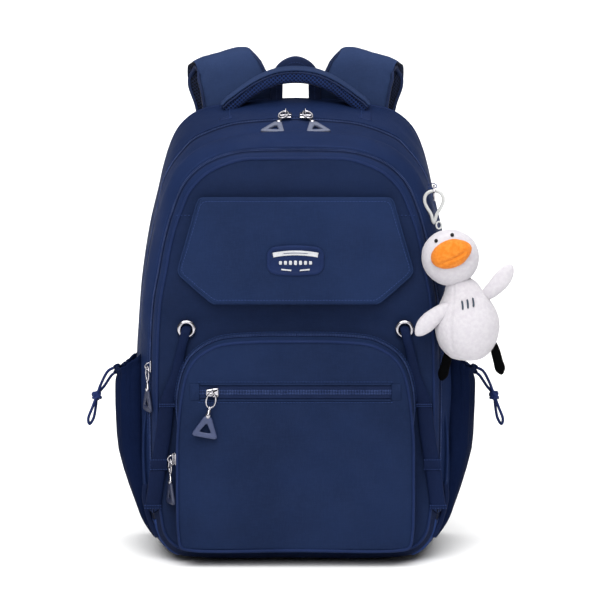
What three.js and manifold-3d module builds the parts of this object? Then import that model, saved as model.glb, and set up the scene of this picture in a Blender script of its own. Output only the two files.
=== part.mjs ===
// School backpack: an assembly of sewn panels, zips, straps, hardware and a hanging plush charm.
// Millimetres. +Z is up, the bag's front faces -Y, and the origin is under the middle of the base.
import * as THREE from 'three';
import { mergeVertices } from 'three/addons/utils/BufferGeometryUtils.js';
import Module from 'manifold-3d';

const wasm = await Module();
wasm.setup();

// ---------------------------------------------------------------- driving dimensions
const GAP = 0.4; // clearance between neighbouring pieces
const WALL = 2.6; // doubled and padded fabric
const BAG_HEIGHT = 447; // top edge of the back panel
const REAR_Y = 85; // outside of the back panel
const FRONT_Y = -83.5; // outside of the front panel
const BAG_DEPTH = REAR_Y - FRONT_Y;
const WIDTH_TAPER = 0.13; // how much narrower the front is than the back
const HEIGHT_TAPER = 0.083; // how much lower the front is than the back
const BASE_TRAY_HEIGHT = 40; // the base panel turns up this far at each side

const DIVIDER_Y = -36.5; // middle of the panel between the two compartments
const MAIN_ZIP_Y = 5; // where the two halves of the main zip meet
const MAIN_ZIP_HALF = 6; // width of each half of the main zip
const FRONT_ZIP_Y = -71.6; // middle of the front compartment's zip
const FRONT_ZIP_WIDTH = 5.8;
const FRONT_ZIP_END_Z = 150; // the front zip's lower ends

const FOLD_Z = 250; // the front and its two gussets fold at this height

const POCKET = { half: 118, frontY: -109, backY: -84.2 };
const POCKET_ZIP = { y: -95.4, width: 5.8, endZ: 90 };
const SLOT = { half: 96, z: 178, height: 15 };

const FLAP = { top: 371, middle: 303, bottom: 265, topHalf: 95, middleHalf: 118, bottomHalf: 90 };
const FLAP_Y = -88.6; // outside of the closed flap
const FLAP_THICKNESS = 3.6;
const BADGE = { width: 57, height: 30, corner: 9, z: 308.5, thickness: 4 };

const GROMMET = { x: 109, z: 238, outer: 9.5, inner: 5.2, thickness: 2.4 };

const SIDE_POCKET = { outer: 181, frontY: -52, backY: 74, corner: 30, bottom: 12, rim: 208 };
const CORD_RADIUS = 1.5;
const KNOT_RADIUS = 5.6;

const HANDLE = { apex: 482, foot: 444, width: 26, thickness: 15, y: 66, pivotZ: 459 };
const STRAP = {
  width: 66, rootWidth: 80, endWidth: 38, thickness: 10, lean: 0.3, pivotY: 112, pivotZ: 467,
  endX: 84, endZ: 186,
};
const WEBBING = { width: 25, thickness: 2 };
const CHARM = { x: 133.5, y: -52, z: 376 }; // where the charm hangs from

// ---------------------------------------------------------------- colours and finishes
const finish = (color, roughness, metalness = 0) => ({ color, roughness, metalness });
const NAVY = finish(0x26334f, 0.85);
const NAVY_DARK = finish(0x1b2540, 0.88);
const NAVY_PAD = finish(0x30405f, 0.9);
const BASE_BLUE = finish(0x2f4472, 0.85);
const WEB_NAVY = finish(0x1d2744, 0.8);
const ZIP_NAVY = finish(0x2c3a5c, 0.6);
const CHROME = finish(0xc8c9cc, 0.2, 1);
const PULL_BLUE = finish(0x4b5582, 0.5);
const BUCKLE = finish(0x14161c, 0.45);
const PLUSH_WHITE = finish(0xece9ee, 0.95);
const PLUSH_ORANGE = finish(0xf79a3c, 0.95);
const PLUSH_BLACK = finish(0x0b0d12, 0.95);
const CLIP_WHITE = finish(0xf2f1ee, 0.35);

const bag = new THREE.Group();

function addNode(name, geometry, look) {
  const mesh = new THREE.Mesh(geometry, new THREE.MeshStandardMaterial(look));
  mesh.name = name;
  bag.add(mesh);
  return mesh;
}

// ---------------------------------------------------------------- solid helpers
function toSolid(geometry) {
  const bare = geometry.clone();
  bare.deleteAttribute('normal');
  bare.deleteAttribute('uv');
  const merged = mergeVertices(bare, 1e-4);
  const vertProperties = new Float32Array(merged.attributes.position.array);
  const triVerts = new Uint32Array(merged.index.array);
  return new wasm.Manifold(new wasm.Mesh({ numProp: 3, vertProperties, triVerts }));
}

function toGeometry(solid) {
  const mesh = solid.getMesh();
  const geometry = new THREE.BufferGeometry();
  geometry.setAttribute('position', new THREE.BufferAttribute(mesh.vertProperties, 3));
  geometry.setIndex(new THREE.BufferAttribute(mesh.triVerts, 1));
  return geometry;
}

function join(...geometries) {
  return toGeometry(geometries.map(toSolid).reduce((a, b) => a.add(b)));
}

function subtract(geometry, ...tools) {
  return toGeometry(tools.map(toSolid).reduce((a, b) => a.subtract(b), toSolid(geometry)));
}

function intersect(geometry, tool) {
  return toGeometry(toSolid(geometry).intersect(toSolid(tool)));
}

function box(low, high) {
  const size = high.map((v, i) => v - low[i]);
  const middle = high.map((v, i) => (v + low[i]) / 2);
  return new THREE.BoxGeometry(...size).translate(...middle);
}

// An XZ outline carried from y0 to y1.
function prism(shape, y0, y1, steps = 1, curveSegments = 8) {
  const depth = y1 - y0;
  const geometry = new THREE.ExtrudeGeometry(shape, { depth, steps, curveSegments, bevelEnabled: false });
  return geometry.rotateX(Math.PI / 2).translate(0, y1, 0);
}

// The bag grows narrower and lower towards its front.
function taperAt(y) {
  const u = THREE.MathUtils.clamp((REAR_Y - y) / BAG_DEPTH, 0, 1.1);
  return { x: 1 - WIDTH_TAPER * u * u, z: 1 - HEIGHT_TAPER * u * u };
}

function taper(geometry) {
  const p = geometry.attributes.position;
  for (let i = 0; i < p.count; i++) {
    const scale = taperAt(p.getY(i));
    p.setX(i, p.getX(i) * scale.x);
    p.setZ(i, p.getZ(i) * scale.z);
  }
  return geometry;
}

// A closed solid through a list of rings, each with the same number of points.
function loft(rings) {
  const count = rings[0].length;
  const positions = rings.flat().flatMap((p) => [p.x, p.y, p.z]);
  const index = [];
  for (let r = 0; r + 1 < rings.length; r++) {
    for (let i = 0; i < count; i++) {
      const a = r * count + i;
      const b = r * count + ((i + 1) % count);
      index.push(a, b, b + count, a, b + count, a + count);
    }
  }
  const last = (rings.length - 1) * count;
  for (let i = 1; i + 1 < count; i++) {
    index.push(0, i + 1, i);
    index.push(last, last + i, last + i + 1);
  }
  const geometry = new THREE.BufferGeometry();
  geometry.setAttribute('position', new THREE.Float32BufferAttribute(positions, 3));
  geometry.setIndex(index);
  return geometry;
}

// A section, listed anticlockwise as (across, out), carried along a smooth path. It is a list of
// points, or a function of the place along the path that gives one. `across` is the
// direction of the section's first axis; the second is at right angles to it and to the path.
function sweep(points, section, across, steps) {
  const path = new THREE.CatmullRomCurve3(points.map((p) => new THREE.Vector3(...p)));
  const rings = [];
  for (let i = 0; i <= steps; i++) {
    const centre = path.getPointAt(i / steps);
    const along = path.getTangentAt(i / steps);
    const out = new THREE.Vector3().crossVectors(along, new THREE.Vector3(...across)).normalize();
    const side = new THREE.Vector3().crossVectors(out, along).normalize();
    const outline = typeof section === 'function' ? section(i / steps) : section;
    rings.push(outline.map(([u, v]) => centre.clone().addScaledVector(side, u).addScaledVector(out, v)));
  }
  return loft(rings);
}

// A flat band's section with eased edges.
function bandSection(width, thickness) {
  const w = width / 2;
  const t = thickness / 2;
  const e = Math.min(t * 0.9, w * 0.3);
  return [[-w + e, -t], [w - e, -t], [w, 0], [w - e, t], [-w + e, t], [-w, 0]];
}

// ---------------------------------------------------------------- the bag's outline
// Half of the back panel's outline, from the top of the base tray to the middle of the top edge.
const SIDE_PROFILE = [
  [153, BASE_TRAY_HEIGHT + GAP], [157, 110], [158.5, 180], [154.5, 250], [148, 303], [137.5, 356],
  [128, 396], [117, 419], [99, 434], [70, 441], [36, 445.5], [0, BAG_HEIGHT],
];
// The rounded lower corner, from the flat of the base up to the top of the base tray.
const BASE_PROFILE = [[128, 0], [141, 4], [149, 17], [153, BASE_TRAY_HEIGHT]];

function curvePoints(profile, count) {
  const curve = new THREE.SplineCurve(profile.map(([x, z]) => new THREE.Vector2(x, z)));
  return curve.getSpacedPoints(count);
}

// Both halves of a symmetric line, right to left.
function mirrored(points) {
  const left = points.slice().reverse().map((p) => new THREE.Vector2(-p.x, p.y));
  const joins = points[points.length - 1].x === 0;
  return points.concat(joins ? left.slice(1) : left);
}

// Moves each point of a line inwards, at right angles to the line.
function offsetLine(points, distance) {
  return points.map((p, i) => {
    const a = points[Math.max(i - 1, 0)];
    const b = points[Math.min(i + 1, points.length - 1)];
    const along = b.clone().sub(a).normalize();
    return new THREE.Vector2(p.x - along.y * distance, p.y + along.x * distance);
  });
}

const archLine = mirrored(curvePoints(SIDE_PROFILE, 16));
const cornerLine = curvePoints(BASE_PROFILE, 6);

// The wall that runs up one side, over the top and down the other.
function archWall(y0, y1, steps = 1, thickness = WALL) {
  const inner = offsetLine(archLine, thickness).reverse();
  return taper(prism(new THREE.Shape([...archLine, ...inner]), y0, y1, steps));
}

// The whole outline as one closed shape; a positive margin makes it larger.
function outlineShape(margin = 0) {
  const rightCorner = cornerLine.slice(0, -1);
  const leftCorner = rightCorner.slice().reverse().map((p) => new THREE.Vector2(-p.x, p.y));
  const closed = [...rightCorner, ...archLine, ...leftCorner];
  if (margin === 0) {
    return new THREE.Shape(closed);
  }
  const looped = [closed[closed.length - 1], ...closed, closed[0]];
  return new THREE.Shape(offsetLine(looped, -margin).slice(1, -1));
}

const outlinePanel = (y0, y1) => taper(prism(outlineShape(), y0, y1));
// The space that the bag's body takes, with a little clearance.
const bagBody = taper(prism(outlineShape(GAP + 0.2), FRONT_Y - 1, REAR_Y + 1, 8));

const FAR = 700; // further than any piece reaches
const above = (z) => box([-FAR, -FAR, z], [FAR, FAR, FAR]);
const below = (z) => box([-FAR, -FAR, -FAR], [FAR, FAR, z]);
const upper = (geometry) => intersect(geometry, above(FOLD_Z + GAP / 2));
const lower = (geometry) => intersect(geometry, below(FOLD_Z - GAP / 2));

// ---------------------------------------------------------------- main compartment
const zipRearY = MAIN_ZIP_Y + MAIN_ZIP_HALF;
const zipFrontY = MAIN_ZIP_Y - MAIN_ZIP_HALF;
const dividerFront = DIVIDER_Y - WALL / 2;
const dividerBack = DIVIDER_Y + WALL / 2;
const BACK_PANEL = 5;
const innerBackY = REAR_Y - BACK_PANEL;

addNode('back_panel', outlinePanel(innerBackY, REAR_Y), NAVY);
// Below the fold, the rear gusset's two sides reach forward to the divider.
const rearArch = archWall(zipRearY + GAP, innerBackY - GAP, 3);
const rearSides = lower(archWall(dividerBack + GAP, zipRearY + GAP + 1, 2));
addNode('rear_gusset', join(rearArch, rearSides), NAVY);

const baseOuter = mirrored(cornerLine.slice().reverse()).reverse();
const baseInner = offsetLine(baseOuter, WALL).reverse();
const baseShape = new THREE.Shape([...baseOuter, ...baseInner]);
addNode('base_panel', taper(prism(baseShape, FRONT_Y + WALL + GAP, innerBackY - GAP, 4)), BASE_BLUE);

addNode('main_zip_rear', upper(archWall(MAIN_ZIP_Y + GAP / 2, zipRearY)), ZIP_NAVY);
addNode('main_zip_front', upper(archWall(zipFrontY, MAIN_ZIP_Y - GAP / 2)), ZIP_NAVY);
addNode('mid_gusset_upper', upper(archWall(dividerBack + GAP, zipFrontY - GAP, 2)), NAVY);

// ---------------------------------------------------------------- front compartment
const dividerPanel = intersect(outlinePanel(dividerFront, dividerBack), above(WALL + 2 * GAP));
addNode('divider_upper', upper(dividerPanel), NAVY_DARK);
const trayRoomInner = offsetLine(baseOuter, WALL + 2 * GAP).reverse();
const trayRoom = taper(prism(new THREE.Shape([...baseOuter, ...trayRoomInner]), FRONT_Y, innerBackY, 8));
addNode('divider_lower', subtract(lower(dividerPanel), trayRoom), NAVY_DARK);

const frontZipFront = FRONT_ZIP_Y - FRONT_ZIP_WIDTH / 2;
const frontZipBack = FRONT_ZIP_Y + FRONT_ZIP_WIDTH / 2;
const frontRimBack = frontZipFront - GAP;
const frontFace = outlinePanel(FRONT_Y, FRONT_Y + WALL);
const frontRim = archWall(FRONT_Y + WALL / 2, frontRimBack);
const frontPanel = join(frontFace, frontRim);
addNode('front_panel_upper', upper(frontPanel), NAVY);
addNode('front_gusset_upper', upper(archWall(frontZipBack + GAP, dividerFront - GAP, 2)), NAVY);

// Below the fold, the front panel and the two sides behind it are one tub, open beside the zip.
const besideZip = box([-FAR, frontRimBack, FRONT_ZIP_END_Z - GAP], [FAR, frontZipBack + GAP, FAR]);
const frontSides = archWall(FRONT_Y + WALL / 2, dividerFront - GAP, 2);
addNode('front_panel_lower', subtract(lower(join(frontFace, frontSides)), besideZip), NAVY);

const frontZip = intersect(archWall(frontZipFront, frontZipBack), above(FRONT_ZIP_END_Z));
addNode('front_zip_upper', upper(frontZip), ZIP_NAVY);
const leftHalf = box([-FAR, -FAR, -FAR], [0, FAR, FAR]);
addNode('front_zip_lower_left', intersect(lower(frontZip), leftHalf), ZIP_NAVY);
addNode('front_zip_lower_right', subtract(lower(frontZip), leftHalf), ZIP_NAVY);

// ---------------------------------------------------------------- front flap and badge
function flapShape() {
  const { top, middle, bottom, topHalf, middleHalf, bottomHalf } = FLAP;
  return new THREE.Shape([
    new THREE.Vector2(bottomHalf, bottom), new THREE.Vector2(middleHalf, middle),
    new THREE.Vector2(topHalf, top), new THREE.Vector2(-topHalf, top),
    new THREE.Vector2(-middleHalf, middle), new THREE.Vector2(-bottomHalf, bottom),
  ]);
}
addNode('front_flap', prism(flapShape(), FLAP_Y, FLAP_Y + FLAP_THICKNESS), NAVY);

function roundedRect(width, height, radius) {
  const w = width / 2 - radius;
  const h = height / 2 - radius;
  const shape = new THREE.Shape();
  shape.absarc(w, -h, radius, -Math.PI / 2, 0);
  shape.absarc(w, h, radius, 0, Math.PI / 2);
  shape.absarc(-w, h, radius, Math.PI / 2, Math.PI);
  shape.absarc(-w, -h, radius, Math.PI, Math.PI * 1.5);
  return shape;
}
const badgeBack = FLAP_Y - GAP;
const badgeShape = roundedRect(BADGE.width, BADGE.height, BADGE.corner);
const badgeGeometry = prism(badgeShape, badgeBack - BADGE.thickness, badgeBack, 1, 4);
addNode('badge', badgeGeometry.translate(0, 0, BADGE.z), NAVY_DARK);

// ---------------------------------------------------------------- lower front pocket
// Half of the pocket's outline, square below and drawn in above.
const POCKET_PROFILE = [
  [114, 16], [POCKET.half, 60], [POCKET.half, 130], [114.6, 164], [106, 198], [86, 220], [60, 226.5],
  [0, 228.5],
];
const pocketLine = mirrored(curvePoints(POCKET_PROFILE, 14));
function pocketOutline(inset) {
  const closed = [pocketLine[pocketLine.length - 1], ...pocketLine, pocketLine[0]];
  return new THREE.Shape(offsetLine(closed, inset).slice(1, -1));
}
function pocketWall(y0, y1) {
  return subtract(prism(pocketOutline(0), y0, y1), prism(pocketOutline(WALL), y0 - 1, y1 + 1));
}
const pocketZipFront = POCKET_ZIP.y - POCKET_ZIP.width / 2;
const pocketZipBack = POCKET_ZIP.y + POCKET_ZIP.width / 2;
const pocketFace = prism(pocketOutline(0), POCKET.frontY, POCKET.frontY + WALL);
const slotHole = box(
  [-SLOT.half, -FAR, SLOT.z - SLOT.height / 2],
  [SLOT.half, POCKET.backY, SLOT.z + SLOT.height / 2],
);
const pocketZipRoom = box(
  [-FAR, pocketZipFront - GAP, POCKET_ZIP.endZ - GAP],
  [FAR, pocketZipBack + GAP, FAR],
);
const pocketBody = join(pocketFace, pocketWall(POCKET.frontY + WALL / 2, POCKET.backY));
addNode('lower_pocket', subtract(pocketBody, slotHole, pocketZipRoom), NAVY);
addNode('pocket_zip', intersect(pocketWall(pocketZipFront, pocketZipBack), above(POCKET_ZIP.endZ)), ZIP_NAVY);

const slotTapeFront = POCKET.frontY + 0.6;
addNode('slot_zip', box(
  [-SLOT.half + GAP, slotTapeFront, SLOT.z - SLOT.height / 2 + GAP],
  [SLOT.half - GAP, POCKET.frontY + WALL, SLOT.z + SLOT.height / 2 - GAP],
), ZIP_NAVY);

// ---------------------------------------------------------------- zip sliders and pulls
// Local frame: the slider travels along Z and its outer face looks along -Y.
const SLIDER = { width: 9, length: 12, thickness: 4.2 };
const BRIDGE = { reach: 3.1, height: 4.6, wall: 1, width: 1, sink: 0.3 }; // reach and height of its hole
const PULL_PIVOT = 2.3; // from the slider's face out to the ring's wire
const PULL = {
  ringWidth: 4.7, ringLength: 7.4, ringWire: 0.8, neck: 9, neckWidth: 3.2, neckThickness: 2.8,
  tab: 24, tabTop: 6, tabHeight: 21, tabThickness: 3.2,
};

// A pull that hangs beside the zip has its bridge across the slider, and else along it.
function sliderGeometry(bridgeAcross) {
  const { width, length, thickness } = SLIDER;
  const body = new THREE.Shape([
    new THREE.Vector2(-width / 2, length / 2), new THREE.Vector2(-width / 2, length / 6),
    new THREE.Vector2(-width / 3, -length / 2), new THREE.Vector2(width / 3, -length / 2),
    new THREE.Vector2(width / 2, length / 6), new THREE.Vector2(width / 2, length / 2),
  ]);
  const { reach, height, wall } = BRIDGE;
  const bridge = new THREE.Shape();
  bridge.absellipse(0, 0, reach + wall, height + wall, 0, Math.PI);
  bridge.lineTo(-reach, 0);
  bridge.absellipse(0, 0, reach, height, Math.PI, 0, true);
  const depth = BRIDGE.width;
  const arch = new THREE.ExtrudeGeometry(bridge, { depth, curveSegments: 6, bevelEnabled: false });
  const [x, y, z] = [[0, 0, 1], [0, -1, 0], [1, 0, 0]].map((v) => new THREE.Vector3(...v));
  arch.translate(0, -BRIDGE.sink, -BRIDGE.width / 2).applyMatrix4(new THREE.Matrix4().makeBasis(x, y, z));
  if (bridgeAcross) {
    arch.rotateY(Math.PI / 2);
  }
  return join(prism(body, -thickness, 0), arch.translate(0, -thickness, 0));
}

// The ring hangs in the slider's bail and carries a triangular tab. The local origin is in the
// bail's hole, the pull hangs along -Z and its face looks along -Y.
function pullGeometry() {
  const { ringWidth, ringLength, ringWire, neck, neckWidth, neckThickness } = PULL;
  const { tab, tabHeight, tabThickness } = PULL;
  const ring = new THREE.TorusGeometry(1, ringWire / ringWidth, 6, 12);
  ring.scale(ringWidth, ringLength, ringWidth).rotateX(Math.PI / 2).translate(0, 0, -ringLength);
  const ringEnd = -ringLength * 2;
  const tabTop = ringEnd - neck;
  const neckBar = box(
    [-neckWidth / 2, -neckThickness / 2, tabTop - 3],
    [neckWidth / 2, neckThickness / 2, ringEnd + 0.8],
  );
  const foot = tabTop - tabHeight;
  const half = tab / 2;
  const narrow = PULL.tabTop / 2;
  const outline = new THREE.Shape([
    new THREE.Vector2(-narrow, tabTop), new THREE.Vector2(-half, foot + 3),
    new THREE.Vector2(-half + 2, foot), new THREE.Vector2(half - 2, foot),
    new THREE.Vector2(half, foot + 3), new THREE.Vector2(narrow, tabTop),
  ]);
  const rim = 4.5;
  outline.holes.push(new THREE.Path([
    new THREE.Vector2(0, tabTop - rim), new THREE.Vector2(-half + rim + 2, foot + rim),
    new THREE.Vector2(half - rim - 2, foot + rim),
  ]));
  return join(ring, neckBar, prism(outline, -tabThickness / 2, tabThickness / 2));
}

// Places a slider and its pull: `at` is where the slider meets the zip, `spin` turns both about Z,
// `tilt` turns the slider's outer face upwards, and `roll` turns it about its outer direction.
// The pull leans forwards from hanging straight down, and sways to one side.
function addZipper(name, at, { spin = 0, tilt = 0, roll = 0, lean = 0, sway = 0, pullSpin = spin }) {
  const turn = new THREE.Matrix4().makeRotationFromEuler(new THREE.Euler(-tilt, 0, spin, 'ZYX'));
  turn.multiply(new THREE.Matrix4().makeRotationY(roll));
  const place = new THREE.Matrix4().makeTranslation(...at).multiply(turn);
  addNode(`${name}_slider`, sliderGeometry(roll !== 0).applyMatrix4(place), CHROME);
  const pivot = new THREE.Vector3(0, -SLIDER.thickness - PULL_PIVOT, 0).applyMatrix4(place);
  const pull = pullGeometry().rotateY(sway).rotateX(-lean).rotateZ(pullSpin);
  addNode(`${name}_pull`, pull.translate(pivot.x, pivot.y, pivot.z), PULL_BLUE);
}

const quarter = Math.PI / 2;
const SLOT_SLIDER_X = -83;
addZipper('slot', [SLOT_SLIDER_X, slotTapeFront - GAP, SLOT.z], { roll: quarter, sway: 0.18 });

const POCKET_SLIDER_Z = 108;
const pocketSliderAt = [-POCKET.half - 1, POCKET_ZIP.y, POCKET_SLIDER_Z];
addZipper('pocket', pocketSliderAt, { spin: -quarter, pullSpin: -1.3, sway: -0.05 });

const FRONT_SLIDER_Z = 198;
const WIDEST = 158.5; // half of the bag's width, at the back
const frontSliderX = -(WIDEST * taperAt(FRONT_ZIP_Y).x + 1.2);
addZipper('front', [frontSliderX, FRONT_ZIP_Y, FRONT_SLIDER_Z], { spin: -quarter, pullSpin: -1.25 });

const mainZipTop = BAG_HEIGHT * taperAt(MAIN_ZIP_Y).z;
const MAIN_SLIDER_X = 10;
const TOP_SLOPE = 0.206; // the top of the bag falls forward at this angle beside the main zip
for (const [side, sign] of [['left', -1], ['right', 1]]) {
  const at = [sign * MAIN_SLIDER_X, MAIN_ZIP_Y, mainZipTop + 0.9];
  const turned = { tilt: quarter - TOP_SLOPE, roll: sign * quarter, lean: 1.21, pullSpin: sign * 0.33 };
  addZipper(`main_${side}`, at, turned);
}

// ---------------------------------------------------------------- grommets and side bands
function grommetGeometry() {
  const { outer, inner, thickness } = GROMMET;
  const middle = (outer + inner) / 2;
  const profile = [
    [inner, 0], [outer, 0], [outer - 0.6, thickness * 0.6], [middle, thickness], [inner, thickness * 0.5],
  ];
  const points = [...profile, profile[0]].map(([r, h]) => new THREE.Vector2(r, h));
  return new THREE.LatheGeometry(points, 20).rotateX(Math.PI);
}
const grommetY = FRONT_Y - GAP;
const BAND = { topWidth: 9, width: 15.5, thickness: 1.8 }; // narrow where it is doubled through the grommet
const BAND_ROUTE = [
  [112, -86.2, 227], [115.5, -86.6, 212], [120, -86.8, 190], [127.5, -86.8, 168], [132, -86.8, 134],
  [138, -86.8, 95], [143, -85.4, 57],
];
for (const [side, sign] of [['left', -1], ['right', 1]]) {
  addNode(`grommet_${side}`, grommetGeometry().translate(sign * GROMMET.x, grommetY, GROMMET.z), CHROME);
  const route = BAND_ROUTE.map(([x, y, z]) => [sign * x, y, z]);
  const section = (t) => {
    const width = BAND.topWidth + (BAND.width - BAND.topWidth) * THREE.MathUtils.smoothstep(t, 0.15, 0.4);
    return bandSection(width, BAND.thickness);
  };
  addNode(`side_band_${side}`, sweep(route, section, [1, 0, 0], 12), WEB_NAVY);
}

// ---------------------------------------------------------------- side pockets
// A D-shaped tub against the bag's side, drawn in below. Its inner part lies inside the bag's outline.
const TUB_INNER = 100;
function pocketPlan(inset) {
  const { outer, frontY, backY, corner } = SIDE_POCKET;
  const x = outer - inset;
  const front = frontY + inset;
  const back = backY - inset;
  const r = corner - inset;
  const shape = new THREE.Shape();
  shape.moveTo(TUB_INNER, front);
  shape.absarc(x - r, front + r, r, -Math.PI / 2, 0);
  shape.absarc(x - r, back - r, r, 0, Math.PI / 2);
  shape.lineTo(TUB_INNER, back);
  return shape;
}
function pocketTub(inset, bottom, top) {
  const steps = 6;
  const tub = new THREE.ExtrudeGeometry(pocketPlan(inset), {
    depth: top - bottom, steps, curveSegments: 4, bevelEnabled: false,
  }).translate(0, 0, bottom);
  const drawnInBelow = 100;
  const drawnInBy = 40;
  const p = tub.attributes.position;
  for (let i = 0; i < p.count; i++) {
    const u = THREE.MathUtils.clamp((drawnInBelow - p.getZ(i)) / (drawnInBelow - SIDE_POCKET.bottom), 0, 1);
    const past = Math.max(p.getX(i) - TUB_INNER, 0) / (SIDE_POCKET.outer - TUB_INNER);
    p.setX(i, p.getX(i) - past * drawnInBy * Math.pow(u, 1.8));
  }
  return tub;
}
function sidePocket() {
  const { bottom, rim } = SIDE_POCKET;
  const tub = subtract(
    pocketTub(0, bottom, rim + 30),
    pocketTub(WALL, bottom + WALL + 2, rim + 40),
    bagBody,
  );
  const rimSlope = 0.62;
  const aboveRim = above(0).rotateY(rimSlope).translate(150, 0, rim);
  return subtract(tub, aboveRim);
}
const rightPocket = sidePocket();
function mirrorX(geometry) {
  const copy = geometry.clone().scale(-1, 1, 1);
  const index = copy.index.array;
  for (let i = 0; i < index.length; i += 3) {
    [index[i], index[i + 1]] = [index[i + 1], index[i]];
  }
  return copy;
}
addNode('side_pocket_right', rightPocket, NAVY_DARK);
addNode('side_pocket_left', mirrorX(rightPocket), NAVY_DARK);

// The pocket's drawcord leaves the rim twice, passes a knot and ends in a loop.
const CORD_ROUTE = [
  [183.2, 6, 184], [188, 7.5, 180], [195, 9, 167], [201.5, 9.6, 154], [204.6, 10, 142], [208.4, 11, 130],
  [209.2, 14, 125], [207.6, 16.4, 130], [204.4, 15.4, 142], [201, 14.6, 154], [194.4, 15, 166],
  [187.6, 16.5, 176], [183.2, 18, 178],
];
const KNOT_AT = [201.3, 12, 154];
function cordGeometry(route, radius) {
  const path = new THREE.CatmullRomCurve3(route.map((p) => new THREE.Vector3(...p)));
  const section = new THREE.Shape();
  section.absarc(0, 0, radius, 0, 2 * Math.PI);
  return new THREE.ExtrudeGeometry(section, { extrudePath: path, steps: 26, curveSegments: 4 });
}
for (const [side, sign] of [['left', -1], ['right', 1]]) {
  const route = CORD_ROUTE.map(([x, y, z]) => [sign * x, y, z]);
  addNode(`drawcord_${side}`, cordGeometry(route, CORD_RADIUS), WEB_NAVY);
  const ball = new THREE.SphereGeometry(KNOT_RADIUS, 12, 8);
  ball.translate(sign * KNOT_AT[0], KNOT_AT[1], KNOT_AT[2]);
  addNode(`drawcord_knot_${side}`, subtract(ball, cordGeometry(route, CORD_RADIUS + 0.35)), WEB_NAVY);
}

// ---------------------------------------------------------------- haul handle and hang loop
function archBand(outerPoints, thickness) {
  const outer = mirrored(curvePoints(outerPoints, 10));
  return new THREE.Shape([...outer, ...offsetLine(outer, thickness).reverse()]);
}
const HANDLE_PROFILE = [[77, HANDLE.foot], [64, 451], [55, 460], [39, 472], [20, 479.5], [0, HANDLE.apex]];
const handleFront = HANDLE.y - HANDLE.width / 2;
const handleShape = archBand(HANDLE_PROFILE, HANDLE.thickness);
const handleArch = prism(handleShape, handleFront, handleFront + HANDLE.width);

// The arch bends forward at its ends: their undersides are round, and each lies in a padded foot.
const endRadius = HANDLE.width / 2;
const endRound = (radius) => new THREE.CylinderGeometry(radius, radius, 200, 40)
  .rotateZ(Math.PI / 2).translate(0, HANDLE.y, HANDLE.pivotZ);
const belowPivot = box([-100, 40, 400], [100, 92, HANDLE.pivotZ]);
const upperArch = subtract(handleArch, belowPivot);
addNode('haul_handle', join(upperArch, intersect(handleArch, endRound(endRadius))), NAVY_PAD);
const feet = subtract(subtract(intersect(handleArch, belowPivot), endRound(endRadius + GAP)), bagBody);
for (const [side, sign] of [['left', -1], ['right', 1]]) {
  const half = box([Math.min(0, sign * 100), 40, 400], [Math.max(0, sign * 100), 92, HANDLE.pivotZ + 10]);
  addNode(`handle_foot_${side}`, intersect(feet, half), NAVY_PAD);
}

const LOOP_PROFILE = [[26, 449], [25, 470], [15, 486], [0, 492]];
const LOOP = { faceWidth: 13, thickness: 3, frontY: 81 };
const loopArch = prism(archBand(LOOP_PROFILE, LOOP.faceWidth), LOOP.frontY, LOOP.frontY + LOOP.thickness);
addNode('hang_loop', subtract(loopArch, bagBody), WEB_NAVY);

// ---------------------------------------------------------------- shoulder straps
// Each strap stands up from the top of the back panel, leaning outwards, folds over and hangs behind.
const STRAP_RISE = [
  [48, 90.8, 414], [52, 91, 430], [58.5, 90.5, 450], [66, 92.5, 472], [72, 99, 484], [75.5, 107, 485.5],
  [76.5, STRAP.pivotY + 0.3, 479],
];
const STRAP_HANG = [
  [77, STRAP.pivotY, STRAP.pivotZ], [70, 110.5, 446], [63, 107, 405], [60, 104.5, 350], [64, 104, 290],
  [74, 104.5, 235], [STRAP.endX, 106, STRAP.endZ],
];
const { smoothstep, lerp } = THREE.MathUtils;
function strapRise(sign) {
  const across = [Math.cos(STRAP.lean), 0, -sign * Math.sin(STRAP.lean)];
  const widthAt = (t) => lerp(STRAP.rootWidth, STRAP.width, smoothstep(t, 0, 0.6));
  const section = (t) => bandSection(widthAt(t), STRAP.thickness);
  return sweep(STRAP_RISE.map(([x, y, z]) => [sign * x, y, z]), section, across, 14);
}
function strapHang(sign) {
  const path = new THREE.CatmullRomCurve3(STRAP_HANG.map(([x, y, z]) => new THREE.Vector3(sign * x, y, z)));
  const steps = 12;
  const rings = [];
  for (let i = 0; i <= steps; i++) {
    const t = i / steps;
    const centre = path.getPointAt(t);
    const lean = STRAP.lean * (1 - smoothstep(t, 0, 0.4));
    const ring = bandSection(lerp(STRAP.width, STRAP.endWidth, smoothstep(t, 0.45, 1)), STRAP.thickness);
    rings.push(ring.map(([u, v]) => new THREE.Vector3(
      centre.x + u * Math.cos(lean), centre.y + v, centre.z - sign * u * Math.sin(lean),
    )));
  }
  return loft(rings.reverse());
}
const LOCK = { width: 36, height: 26, thickness: 5, frontY: 103.5, slotWidth: 27, slotHeight: 4.4 };
const ANCHOR = [124, 93, 34];
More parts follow.
